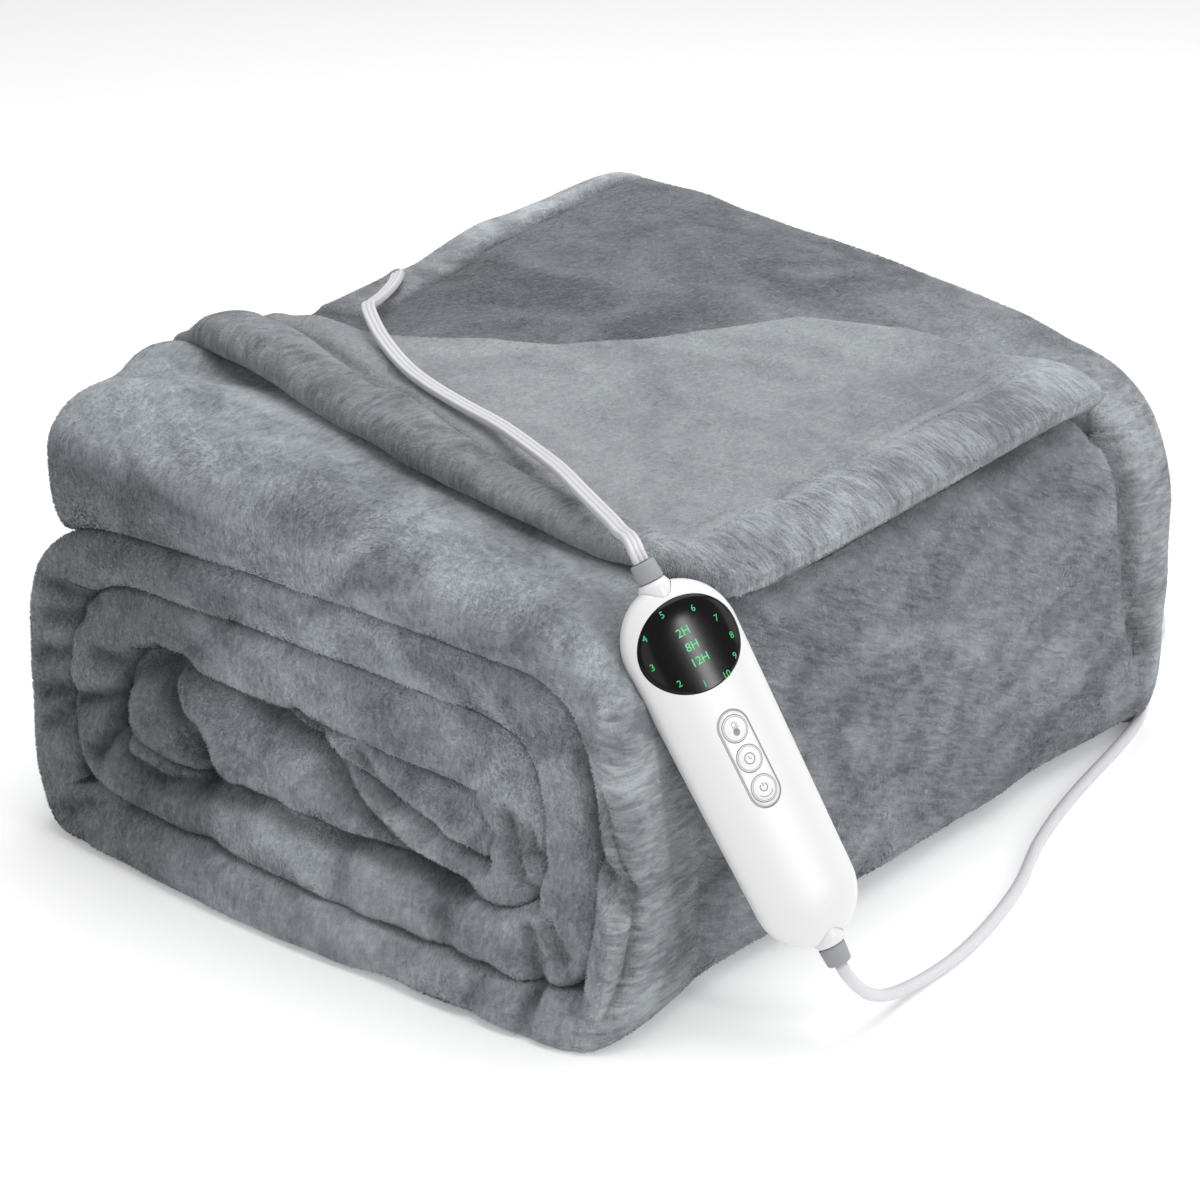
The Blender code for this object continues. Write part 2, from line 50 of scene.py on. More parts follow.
towards_camera = Vector((
    math.sin(VIEW_AZIMUTH) * math.cos(VIEW_ELEVATION),
    -math.cos(VIEW_AZIMUTH) * math.cos(VIEW_ELEVATION),
    math.sin(VIEW_ELEVATION)))
camera = bpy.data.objects.new("camera", bpy.data.cameras.new("camera"))
camera.data.lens = LENS_MM
camera.data.sensor_width = FILM_MM
camera.data.clip_start, camera.data.clip_end = 0.05, 30.0
camera.location = VIEW_CENTRE + towards_camera * VIEW_DISTANCE
camera.rotation_euler = towards_camera.to_track_quat("Z", "Y").to_euler()
bpy.context.scene.collection.objects.link(camera)
bpy.context.scene.camera = camera


def wire(node, sockets):
    """Links each of a node's sockets to another's output, or sets it to a value."""
    for socket, value in sockets.items():
        if isinstance(value, bpy.types.NodeSocket):
            node.id_data.links.new(value, node.inputs[socket])
        else:
            node.inputs[socket].default_value = value


def add_node(tree, kind, sockets=None, **settings):
    made = tree.nodes.new(kind)
    for key, value in settings.items():
        setattr(made, key, value)
    wire(made, sockets or {})
    return made


def principled(material):
    return material.node_tree.nodes["Principled BSDF"]


def plain_material(name, colour, roughness, metallic=0.0):
    made = bpy.data.materials.new(name)
    made.use_nodes = True
    wire(principled(made), {"Base Color": (*colour, 1.0), "Roughness": roughness,
                            "Metallic": metallic})
    return made


def mesh_piece(name, points, faces, finish):
    """A smooth-shaded mesh object from points in millimetres."""
    mesh = bpy.data.meshes.new(name)
    mesh.from_pydata([tuple(c * MM for c in p) for p in points], [], faces)
    mesh.validate()
    mesh.shade_smooth()
    if finish:
        mesh.materials.append(finish)
    made = bpy.data.objects.new(name, mesh)
    bpy.context.scene.collection.objects.link(made)
    return made


FLOOR_HALF, FLOOR_GLOW, ROOM_LIGHT = 4000, 0.14, 0.50
floor = mesh_piece(
    "floor",
    [(-FLOOR_HALF, -FLOOR_HALF, 0), (FLOOR_HALF, -FLOOR_HALF, 0),
     (FLOOR_HALF, FLOOR_HALF, 0), (-FLOOR_HALF, FLOOR_HALF, 0)],
    [(0, 1, 2, 3)], plain_material("pale_surface", (0.88, 0.88, 0.88), 0.9))
wire(principled(floor.data.materials[0]), {"Emission Color": (1.0, 1.0, 1.0, 1.0),
                                           "Emission Strength": FLOOR_GLOW})

bpy.context.scene.view_settings.view_transform = "Standard"
world = bpy.data.worlds.new("studio")
world.use_nodes = True
wire(world.node_tree.nodes["Background"], {"Color": (1.0, 1.0, 1.0, 1.0), "Strength": ROOM_LIGHT})
bpy.context.scene.world = world

SOFTBOX_COLUMNS = ("name", "place", "aim", "width", "length", "power")
SOFTBOXES = (
    ("over_softbox", (0.1, 0.35, 2.1), (0.0, 0.0, 0.1), 2.0, 2.0, 38.0),
    ("right_softbox", (1.7, -2.1, 1.0), (0.0, 0.0, 0.1), 1.3, 1.3, 6.5),
    ("left_softbox", (-1.1, -1.9, 1.2), (0.0, 0.0, 0.1), 1.4, 1.4, 9.0),
    ("far_softbox", (1.6, 1.9, 1.3), (0.1, 0.1, 0.1), 1.4, 1.4, 9.0),
    ("strip_light", (2.02, -0.2, 0.96), (0.186, -0.18, 0.168), 0.17, 0.8, 11.0),
)
CONTROL_LEAN = Vector((0.08, 0.014, -0.138))     # the strip stands along the hand control
for row in SOFTBOXES:
    box = dict(zip(SOFTBOX_COLUMNS, row))
    light = bpy.data.lights.new(box["name"], "AREA")
    light.shape = "RECTANGLE"
    light.size, light.size_y = box["width"], box["length"]
    light.energy = box["power"]
    lamp = bpy.data.objects.new(box["name"], light)
    lamp.location = box["place"]
    back = (Vector(box["place"]) - Vector(box["aim"])).normalized()
    across = CONTROL_LEAN.cross(back).normalized()
    lamp.rotation_euler = Matrix((across, back.cross(across), back)).transposed().to_euler()
    bpy.context.scene.collection.objects.link(lamp)


# ---- the flat cord ---------------------------------------------------------
# A flat three-core cord with a satin white sheath. It is sewn into the hem at
# the back left, lies over the turned-back corner and enters the hand control.
FLAT_WIDTH, FLAT_THICK = 6.4, 3.5
FLAT_CORES = 3
GROOVE_LEVEL, CORE_SQUARE = 0.35, 0.6      # share of the thickness left in a groove; core's form
FLAT_ROUTE = (
    (-130, -1, 222.5),
    (-122, -13, 222.0),
    (-113, -30, 222.0),
    (-101, -50, 224.8),
    (-84, -72, 230.0),
    (-60, -90, 226.0),
    (-36, -102, 220.5),
    (-15, -109, 217.0),
    (10, -114, 213.5),
    (35, -119, 211.0),
    (61, -128, 208.5),
    (84, -138, 207.0),
    (104, -149, 205.5),
    (120, -157, 203.5),
    (132, -163.5, 202.5),
    (141, -169, 201.8),
    (148.5, -174, 202.8),
    (154, -177.6, 202.0),
    (157.4, -179.7, 199.9),
    (159.5, -179.4, 196.3),
)


def smooth_route(route, samples=8):
    """A smooth curve through given route points."""
    route = [Vector(p) for p in route]
    line = []
    ends = [2 * route[0] - route[1]] + route + [2 * route[-1] - route[-2]]
    for a, b, c, d in zip(ends, ends[1:], ends[2:], ends[3:]):
        for k in range(samples):
            t = k / samples
            line.append(0.5 * (2 * b + (c - a) * t + (2 * a - 5 * b + 4 * c - d) * t * t
                               + (3 * b - a - 3 * c + d) * t ** 3))
    line.append(route[-1].copy())
    return line


def flat_cord_outline(steps=8):
    """Three round cores side by side, as one closed outline (across, up)."""
    core = FLAT_WIDTH / FLAT_CORES
    outline = []
    for side in (1, -1):
        for k in range(FLAT_CORES):
            centre = side * (FLAT_WIDTH / 2 - core * (k + 0.5))
            for j in range(steps):
                angle = math.pi * (j + 0.5) / steps
                level = GROOVE_LEVEL + (1 - GROOVE_LEVEL) * math.sin(angle) ** CORE_SQUARE
                outline.append((centre + side * core / 2 * math.cos(angle),
                                side * FLAT_THICK / 2 * level))
    return outline


def joined(count, rings):
    """Faces between rings of points, each of the same count, with both ends closed."""
    faces = []
    for k in range(1, rings):
        base, prev = k * count, (k - 1) * count
        for j in range(count):
            nxt = (j + 1) % count
            faces.append((prev + j, prev + nxt, base + nxt, base + j))
    last = (rings - 1) * count
    return faces + [tuple(reversed(range(count))), tuple(range(last, last + count))]


def swept(name, line, outline, up_hint, finish):
    """An outline carried along a line, with closed ends."""
    points = []
    for k, centre in enumerate(line):
        ahead = line[min(k + 1, len(line) - 1)] - line[max(k - 1, 0)]
        ahead.normalize()
        up = up_hint(k / (len(line) - 1))
        across = ahead.cross(up).normalized()
        up = across.cross(ahead)
        points += [centre + across * x + up * z for x, z in reversed(outline)]
    return mesh_piece(name, points, joined(len(outline), len(line)), finish)


def sheath_material(name, colour):
    """A satin sheath that lets a little light in, with a very fine grain."""
    made = plain_material(name, colour, 0.34)
    tree = made.node_tree
    where = add_node(tree, "ShaderNodeTexCoord")
    grain = add_node(tree, "ShaderNodeTexNoise", {"Vector": where.outputs["Object"], "Scale": 500.0})
    bump = add_node(tree, "ShaderNodeBump", {"Height": grain.outputs["Fac"],
                                             "Strength": 0.12, "Distance": 0.0004})
    wire(principled(made), {"Subsurface Weight": 0.15, "Subsurface Radius": (0.002, 0.002, 0.002),
                            "Normal": bump.outputs["Normal"]})
    return made


cord_sheath = sheath_material("cord_sheath", (0.58, 0.575, 0.6))
FLAT_UP_START, FLAT_UP = Vector((-0.35, -0.3, 0.9)), Vector((0.05, -0.15, 1.0))
FLAT_UP_END = Vector((0.80, -0.41, 0.43))
FLAT_UP_TURN = 0.8               # where along the cord it starts to turn over


def flat_up(f):
    """Which way the cord's flat side faces, at a share of its length."""
    turn = max(0.0, (f - FLAT_UP_TURN) / (1 - FLAT_UP_TURN))
    lean = FLAT_UP.lerp(FLAT_UP_START, max(0.0, 1 - 4 * f))
    return lean.normalized().lerp(FLAT_UP_END.normalized(), turn).normalized()


flat_line = smooth_route(FLAT_ROUTE)
flat_cord = swept("flat_cord_sheath", flat_line, flat_cord_outline(), flat_up, cord_sheath)
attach(flat_cord, "base")
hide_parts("flat_cord")


# ---- the mains lead --------------------------------------------------------
# A round two-core lead in the same sheath. It curves down from the control to
# the surface and runs along the long side. Behind the far end its spare length
# is wound into a coil of six turns, beside the plug.
LEAD = 5.5
LEAD_ROUTE = (
    (249.9, -164, 40.6),
    (251.9, -163.5, 37.2),
    (252.3, -157.3, 29.8),
    (251.5, -148.5, 21.8),
    (249.5, -137.5, 14.6),
    (247.8, -124.5, 8.8),
    (246.8, -109, 5.0),
    (246.3, -92, 3.0),
    (246.2, -75, 2.8),
    (244.5, -56, 2.8),
    (240.5, -33, 2.8),
    (234.7, -8, 2.8),
    (228, 14, 2.8),
    (217, 42, 2.8),
    (207, 76, 2.8),
    (199, 112, 2.8),
    (193, 145, 2.8),
    (187, 176, 2.8),
    (180, 202, 2.8),
    (170, 224, 2.8),
    (156, 242, 2.8),
    (143, 254.5, 2.8),
)
COIL_CENTRE = Vector((100, 290, 0))
COIL_MIDDLE = 31.0               # radius of the coil's middle lane
COIL_LIFT = 0.05                 # the lowest turns lie this far off the surface
LEAD_SIDES = 12
COIL_START, COIL_END = -29.3, 209.3 + 5 * 360      # degrees round the coil
COIL_LANES = ((1, 0), (0, 0), (-1, 0), (-1, 1), (0, 1), (1, 1))    # across, up
LANE_CHANGE = 50.0               # degrees that a change of lane takes
TAIL_ROUTE = (
    (63.8, 269.7, 2.8),
    (62, 260.5, 2.9),
    (57.5, 252.5, 3.8),
    (49.5, 247.3, 5.6),
    (40, 246, 7.4),
    (32, 246, 8.0),
)


def coil_line(step=12.0):
    """The coil's turns: out and back over the lanes, then down to the tail."""
    line = []
    count = round((COIL_END - COIL_START) / step)
    for k in range(2, count - 1):
        angle = COIL_START + (COIL_END - COIL_START) * k / count
        turns = (angle - COIL_START) / 360
        lane = min(int(turns), len(COIL_LANES) - 1)
        across, up = COIL_LANES[lane]
        if lane + 1 < len(COIL_LANES):
            nearly = max(0.0, (turns - lane) * 360 - (360 - LANE_CHANGE)) / LANE_CHANGE
            nearly = nearly * nearly * (3 - 2 * nearly)
            across += (COIL_LANES[lane + 1][0] - across) * nearly
            up += (COIL_LANES[lane + 1][1] - up) * nearly
        left = (COIL_END - angle) / LANE_CHANGE
        if left < 1:
            up *= left
            across += 0.8 * (1 - left)
        reach = COIL_MIDDLE + across * LEAD
        line.append(COIL_CENTRE + Vector((
            reach * math.cos(math.radians(angle)),
            reach * math.sin(math.radians(angle)),
            LEAD / 2 + up * LEAD + COIL_LIFT)))
    return line


lead_route = [Vector(p) for p in LEAD_ROUTE] + coil_line() + [Vector(p) for p in TAIL_ROUTE]
lead_line = smooth_route(lead_route, samples=2)
lead_ring = [(LEAD / 2 * math.cos(math.tau * k / LEAD_SIDES),
              LEAD / 2 * math.sin(math.tau * k / LEAD_SIDES)) for k in range(LEAD_SIDES)]
NEARLY_UP = Vector((0.03, 0.02, 1.0))
lead = swept("lead_sheath", lead_line, lead_ring, lambda f: NEARLY_UP, cord_sheath)
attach(lead, "base")
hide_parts("mains_lead", "mains_coil", "mains_tail")


# ---- the blanket's roll ----------------------------------------------------
# Four plies of soft plush, folded lengthwise and wound into a flattened roll.
# The layers press on each other, so their folded ends meet in tight creases.
FAR_END = 217.0
LAYER_COLUMNS = ("name", "x_right", "x_left", "z_right", "z_mid", "z_left",
                 "thick_right", "thick_mid", "thick_left", "reach", "square", "near")
LAYERS = (
    ("core upper", 106, -80, 70, 87.5, 98.5, 30, 11, 1.2, 14, 2.0, -208),
    ("core lower", 100, -84, 48, 66, 71, 15, 31, 50, 20, 2.1, -209),
    ("first over", 96, -90, 106, 110, 115, 34, 29, 26, 41, 2.2, -213),
    ("first under", 108, -90, 28, 33, 37, 23, 28, 25, 43, 2.6, -214),
    ("second over", 108, -98, 138, 140.5, 142.5, 24, 25, 24, 53, 2.3, -215),
    ("under", 130, -116, 6.5, 8, 12, 13, 16, 24, 48, 6.5, -217),
    ("cover", 120, -156, 164, 177.5, 183, 22, 42, 61, 0, 2.0, -218),
)
ROLL_STEP = 3.4                  # spacing of the sections along the strip
INNER_END_ROUND, COVER_END_ROUND = 10.0, 27.0
INNER_END_SQUARE, COVER_END_SQUARE = 2.5, 3.0
SIDE_ROUND = 12.0
FAR_WIDEN, FAR_RAISE = 0.045, 0.095
FAR_RAISE_LEFT, FAR_RAISE_RIGHT = 0.112, 0.065
FAR_CORNER = 15.0                # how far the far right corner is drawn in
INNER_SET_BACK = 14.0            # the inner layer sits this far back at its left
END_UNEVEN, FAR_UNEVEN = 2.5, 3.0      # how far the folded ends stray
FOOT_OUT, FOOT_HEIGHT = 22.0, 105.0    # the near end leans out at its foot
FOOT_SHARES = ((-178, 0.3), (-130, 0.6), (-80, 0.85), (-30, 1), (20, 1.05), (125, 1),
               (150, 0.8), (165, 0.5), (182, 0.15))
RIM_STEPS, FAR_RIM_STEPS = 20, 10
FOLD_DEPTH, FOLD_SQUARE = 10.0, 2.7    # the tight folds' ends are nearly flat
SOFT_SQUARE = 2.3
OUTER_POINTS, INNER_POINTS = 62, 8
TOUCH_GAP = 0.3                  # layers come this close to each other
NEAR_FACE = -216.0
COVER_REACH = 640                # length of the strip's end that is the cover
ROW_THICK, ROW_NEAR, ROW_SOFT, ROW_LAYER = 2, 3, 4, 5      # a strip row's columns, after x and z


def between(right, mid, left, f):
    """The smooth value at f, from three values at f = 0, 0.5 and 1."""
    return right * (1 - f) * (1 - 2 * f) + mid * 4 * f * (1 - f) + left * f * (2 * f - 1)


def strip_path():
    """Rows of x, z, thickness, near end and softness along the strip's middle line."""
    rows = []
    last = None
    for index, layer in enumerate(LAYERS):
        row = dict(zip(LAYER_COLUMNS, layer))
        run = []
        for k in range(25):
            f = k / 24
            thick = between(row["thick_right"], row["thick_mid"], row["thick_left"], f)
            z = thick / 2 if row["name"] == "under" else between(
                row["z_right"], row["z_mid"], row["z_left"], f)
            softness = SIDE_ROUND if row["name"] == "cover" else 0.0
            run.append((row["x_right"] - f * (row["x_right"] - row["x_left"]), z, thick,
                        row["near"], softness, index))
        if index % 2:
            run.reverse()
        if last is not None:
            before = dict(zip(LAYER_COLUMNS, LAYERS[index - 1]))
            start, end = np.array(last), np.array(run[0], float)
            side = -1 if index % 2 else 1
            for k in range(1, 24):
                f = k / 24
                station = start + f * (end - start)
                swing = math.cos(math.pi * f)
                power = 2 / (before["square"] + (row["square"] - before["square"]) * f)
                station[0] += side * before["reach"] * math.sin(math.pi * f) ** power
                station[1] = (start[1] + end[1]) / 2 + (start[1] - end[1]) / 2 * math.copysign(
                    abs(swing) ** power, swing)
                rows.append(tuple(station))
        rows += run
        last = run[-1]
    rows = np.array(rows, float)
    steps = np.hypot(np.diff(rows[:, 0]), np.diff(rows[:, 1]))
    at = np.concatenate(([0.0], np.cumsum(steps)))
    even = np.linspace(0, at[-1], round(at[-1] / ROLL_STEP))
    return np.stack([np.interp(even, at, rows[:, c]) for c in range(rows.shape[1])], axis=1), even


def smoothed(values, reach):
    """Values along the strip, each blended with its neighbours."""
    kernel = np.hanning(2 * reach + 3)[1:-1]
    padded = np.concatenate((np.full(reach, values[0]), values, np.full(reach, values[-1])))
    return np.convolve(padded, kernel / kernel.sum(), mode="valid")


strip, strip_at = strip_path()
strip_length = strip_at[-1]
middle = strip[:, :2]
tangent = np.gradient(middle, axis=0)
tangent /= np.linalg.norm(tangent, axis=1)[:, None]
outward = np.stack((tangent[:, 1], -tangent[:, 0]), axis=1)
half = strip[:, ROW_THICK] / 2


def room(side):
    """Half thickness on one side, filled out until the layer meets its neighbour."""
    fit = half.copy()
    starts, spans = middle[:-1], np.diff(middle, axis=0)
    for k in range(len(middle)):
        ray = outward[k] * side
        across = spans[:, 0] * ray[1] - spans[:, 1] * ray[0]
        offset = starts - middle[k]
        across[np.abs(across) < 1e-9] = 1e-9
        reach = (spans[:, 0] * offset[:, 1] - spans[:, 1] * offset[:, 0]) / across
        share = (ray[0] * offset[:, 1] - ray[1] * offset[:, 0]) / across
        met = (share >= 0) & (share <= 1) & (reach > 5) & (reach < 70) & (
            np.abs(strip_at[:-1] - strip_at[k]) > 40)
        if met.any():
            nearest = np.where(met)[0][reach[met].argmin()]
            fit[k] = reach[nearest] * half[k] / (half[k] + half[nearest]) - TOUCH_GAP / 2
    return smoothed(np.clip(fit, half * 0.75, half * 1.7), 3)


outer_half, inner_half = room(1), room(-1)
bend = smoothed(np.gradient(np.unwrap(np.arctan2(tangent[:, 1], tangent[:, 0]))) / ROLL_STEP, 3)
inner_half = np.minimum(inner_half, 0.9 / np.maximum(bend, 1e-3))

# the free ends close in a rounded edge
for edge_round, square, distance in (
        (INNER_END_ROUND, INNER_END_SQUARE, strip_at),
        (COVER_END_ROUND, COVER_END_SQUARE, strip_length - strip_at)):
    share = np.clip(distance / edge_round, 0.0, 1.0)
    full = np.maximum((1 - (1 - share) ** square) ** (1 / square), 0.04)
    outer_half *= full
    inner_half *= full
    strip[:, ROW_NEAR] += edge_round * 0.7 * (1 - full)

# the inner layer is thin at its left, where it sits back between its neighbours
inner_layer = strip[:, ROW_LAYER] == 0
strip[inner_layer, ROW_NEAR] += INNER_SET_BACK * np.clip((12.0 - strip[inner_layer, 0]) / 40.0, 0, 1)

# uneven folded ends
strip[:, ROW_NEAR] += [END_UNEVEN * noise.noise(Vector((s / 55, 1.7, 0.0))) for s in strip_at]
far_edge = np.array([FAR_END + FAR_UNEVEN * noise.noise(Vector((s / 60, 8.1, 0.0)))
                     for s in strip_at])
far_edge -= FAR_CORNER * np.clip((middle[:, 0] - 60) / 110, 0, 1) ** 1.5


def rim(square, steps, side):
    """(depth, height) pairs over half of a fold's end, from its middle to one side, 0 to 1."""
    angles = [math.pi / 2 * k / steps for k in range(steps + 1)]
    return [(1 - max(0.0, math.cos(a)) ** (2 / square), side * math.sin(a) ** (2 / square))
            for a in angles]


def fold_end(steps, out_half, in_half, softness):
    """Depth and offset round a fold's end, from the inner to the outer side."""
    inner = [(FOLD_DEPTH * d, in_half * h) for d, h in rim(FOLD_SQUARE, steps // 2, -1)][::-1]
    share = min(1.0, softness / SIDE_ROUND)
    reach = FOLD_DEPTH + (out_half + softness - FOLD_DEPTH) * share
    square = FOLD_SQUARE + (SOFT_SQUARE - FOLD_SQUARE) * share
    outer = [(reach * d, out_half * h) for d, h in rim(square, steps // 2, 1)][1:]
    return inner + outer, reach


roll_points, outside = [], []
for k in range(len(strip)):
    x, z, thick, near, softness, layer = strip[k]
    out_half, in_half, far = outer_half[k], inner_half[k], far_edge[k]
    near_end, reach = fold_end(RIM_STEPS, out_half, in_half, softness)
    far_end, far_reach = fold_end(FAR_RIM_STEPS, out_half, in_half, softness)
    ring = [(near + depth, offset) for depth, offset in near_end]
    start, end = near + reach, far - far_reach
    ring += [(start + (end - start) * j / (OUTER_POINTS + 1), out_half)
             for j in range(1, OUTER_POINTS + 1)]
    ring += [(far - depth, offset) for depth, offset in reversed(far_end)]
    start, end = near + FOLD_DEPTH, far - FOLD_DEPTH
    ring += [(start + (end - start) * j / (INNER_POINTS + 1), -in_half)
             for j in range(INNER_POINTS, 0, -1)]
    for y, offset in ring:
        roll_points.append((x + outward[k][0] * offset, y, z + outward[k][1] * offset))
        outside.append(min(1.0, max(0.0, 0.5 + offset / thick)))
ring_count = len(ring)
faces = joined(ring_count, len(strip))
roll_points = np.array(roll_points)
roll_x, roll_y, roll_z = roll_points.T      # these follow each change to the points
outside = np.array(outside)      # 0 on the strip's inner side, 1 on its outer side
along_strip = np.repeat(strip_at, ring_count)
layer_of = np.repeat(strip[:, ROW_LAYER], ring_count)


def normals_of(points, polygons):
    """Each point's own normal, as Blender works it out for a mesh."""
    mesh = bpy.data.meshes.new("measuring")
    mesh.from_pydata([tuple(p) for p in points], [], polygons)
    found = np.empty(len(points) * 3)
    mesh.vertices.foreach_get("normal", found)
    bpy.data.meshes.remove(mesh)
    return found.reshape(-1, 3)


def wave(points, size, seed):
    """Smooth noise at each point, for features of one size in millimetres."""
    shift = Vector((seed * 17.3, seed * 5.1, seed * 9.7))
    return np.array([noise.noise(Vector(p) / size + shift) for p in points])


def line_distance(points, line):
    """Distance of points from a line of straight pieces."""
    best = np.full(len(points), 1e9)
    for a, b in zip(line, line[1:]):
        a, b = np.array(a, float), np.array(b, float)
        ab = b - a
        t = np.clip(((points - a) @ ab) / (ab @ ab), 0, 1)
        best = np.minimum(best, np.linalg.norm(points - (a + t[:, None] * ab), axis=1))
    return best


def troughs(points, rows):
    """How far each point is pushed in by creases, or out by ridges of negative depth."""
    push = np.zeros(len(points))
    for width, depth, line in rows:
        push += depth * np.exp(-(line_distance(points, line) / width) ** 2)
    return push


# Creases and ridges of the near face, as x and z: width, depth, then the line.
NEAR_CREASES = (
    (4.5, 8.0, ((-127, 93), (-109, 91), (-96, 97), (-71, 101))),
    (5.0, 11.0, ((-90, 98), (-87, 86), (-80, 72), (-66, 62), (-60, 56))),
    (5.0, 9.0, ((-66, 58), (-58, 66), (-66, 74))),
    (4.5, 11.0, ((-4, 94), (12, 80), (24, 68), (41, 57), (60, 49), (88, 44))),
    (4.5, 7.0, ((28, 86), (46, 75), (72, 66))),
    (4.5, 7.0, ((-35, 51), (-12, 46), (28, 47), (73, 44))),
    (4.5, 8.0, ((-138, 68), (-117, 75))),
    (4.5, 9.0, ((-113, 63), (-129, 43))),
    (4.5, 9.0, ((-63, 48), (-46, 48), (-35, 52))),
    (4.0, 6.0, ((-160, 67), (-146, 72))),
    (4.0, 6.0, ((-161, 51), (-150, 56))),
    (4.0, 5.5, ((-146, 13), (-131, 20))),
    (4.0, 6.0, ((-146, 121), (-130, 117))),
    (4.0, 6.5, ((-156, 105), (-138, 107))),
    (4.0, 5.5, ((-160, 86), (-147, 88))),
    (4.0, 9.0, ((-78, 98), (-107, 86), (-114, 66), (-107, 48), (-88, 42), (-63, 47))),
    (4.0, 9.0, ((114, 83), (116, 70), (119, 58), (128, 50))),
    (3.5, 8.0, ((124, 79), (126, 71), (132, 69))),
    (4.5, 5.0, ((104, 14), (98, 6))),
    (4.5, 5.5, ((130, 14), (127, 6))),
    (4.5, 8.0, ((126, 38), (130, 26), (130, 14))),
    (4.5, 7.0, ((136, 42), (145, 33))),
    (8.0, 5.0, ((-60, 44), (-62, 26))),
    (8.0, 5.0, ((22, 42), (22, 24))),
    (7.0, 5.0, ((78, 40), (80, 20))),
    (4.5, 9.0, ((157, 121), (161, 108), (164, 85), (178, 68))),
    (9.0, -9.0, ((-62, 84), (-47, 66), (-35, 54))),
    (10.0, -7.0, ((-104, 60), (-102, 80))),
    (11.0, -6.0, ((-30, 84), (0, 70), (25, 56))),
    (11.0, -5.0, ((45, 76), (80, 66))),
)
RIM_REACH = 36.0                 # how far in from the near face they fade out
# Seams, grooves and swells of the outer side, as x, y and z.
NEAR_HEM_SEAM = ((157, -212, 121), (170, -218, 108), (178, -217, 88), (181, -212, 71),
                 (184, -212, 57), (182, -216, 39), (177, -224, 17))
FAR_HEM_SEAM = ((160, 148, 180), (170, 152, 171), (180, 158, 156), (187, 160, 132),
                (191, 162, 102), (191, 169, 69), (186, 184, 40), (177, 193, 18))
LEFT_HEM_SEAM = ((-112, -20, 222), (-122, 20, 222), (-128, 60, 223), (-132, 110, 226),
                 (-136, 160, 229), (-138, 200, 230))
BACK_HEM_SEAM = ((-110, 197, 229), (-60, 198, 222), (0, 198, 213), (60, 194, 206), (110, 190, 200))
LEFT_RIDGE = ((-131, -208, 190), (-129, -198, 202), (-122, -184, 209), (-108, -172, 212),
              (-88, -164, 212))
SEAMS = (
    (3.0, 5.0, NEAR_HEM_SEAM),
    (3.8, 8.5, FAR_HEM_SEAM),
    (2.6, 2.4, LEFT_HEM_SEAM),
    (5.0, 6.0, ((158, 146, 182), (166, 150, 175), (174, 155, 165))),
    (2.6, 2.0, BACK_HEM_SEAM),
    (6.0, -4.5, ((-140, 9, 222), (-134, 4, 222), (-131, 1, 222))),
    (12.0, -5.0, LEFT_RIDGE),
    (15.0, -8.0, ((-160, -152, 200), (-146, -146, 211), (-128, -140, 214))),
    (30.0, 5.5, ((-150, -48, 214), (-146, -10, 218), (-140, 24, 220))),
)
HEM_SWELL = 2.0

depth_in = np.clip((roll_y - NEAR_FACE) / 70.0, 0.0, 1.0)     # 0 at the near face
bend_at = np.repeat(np.clip(bend * 40, 0, 1), ring_count)
gather = np.array([noise.noise(Vector((s / 13.0, 3.0, y / 120.0)))
                   for s, y in zip(along_strip, roll_y)])
lift = (2.0 * wave(roll_points, 75, 1) + 1.2 * wave(roll_points, 30, 2)) * (0.2 + 0.8 * outside)
lift += 1.2 * gather * (1 - depth_in) ** 2 * bend_at * outside
in_rim = np.clip(1 - (roll_y - NEAR_FACE) / RIM_REACH, 0, 1)
push = troughs(roll_points[:, (0, 2)], NEAR_CREASES)
roll_points += normals_of(roll_points, faces) * lift[:, None]
roll_y += push * in_rim

# the foot of the near end leans out towards the viewer, more in its middle
foot = np.clip((-150 - roll_y) / 60.0, 0, 1)
foot = foot * foot * (3 - 2 * foot) * np.clip(1 - roll_z / FOOT_HEIGHT, 0, 1)
foot *= FOOT_OUT * np.interp(roll_x, *zip(*FOOT_SHARES))
roll_x += 0.8 * foot
roll_y -= foot
roll_z += 0.3 * foot * np.clip(roll_z / 14.0, 0, 1)


def settle(points):
    """Changes points: the far end is wrapped looser, the underside is flat on the surface."""
    back = np.clip((points[:, 1] - NEAR_FACE) / (FAR_END - NEAR_FACE), 0, 1)
    left = np.clip((-points[:, 0] - 40) / 100, 0, 1)
    right = np.clip((points[:, 0] - 90) / 90, 0, 1)
    level = (FAR_RAISE + (FAR_RAISE_RIGHT - FAR_RAISE) * right) * back
    points[:, 2] *= 1 + level * (1 - left) + FAR_RAISE_LEFT * back ** 1.7 * left
    points[:, 0] *= 1 + FAR_WIDEN * back
    points[:, 2] = np.maximum(points[:, 2], 0.0)


settle(roll_points)
on_cover = (outside > 0.45) & ((layer_of > 5.0) | (strip_length - along_strip < COVER_REACH))
groove = troughs(roll_points, SEAMS) * (outside > 0.3)


def beyond(points, line, axis, side, keep):
    """1 on one side of a line that runs along the other horizontal or upright axis."""
    order = sorted((p[keep], p[axis]) for p in line)
    limit = np.interp(points[:, keep], [o[0] for o in order], [o[1] for o in order])
    return np.clip((points[:, axis] - limit) * side / 3.0, 0, 1)


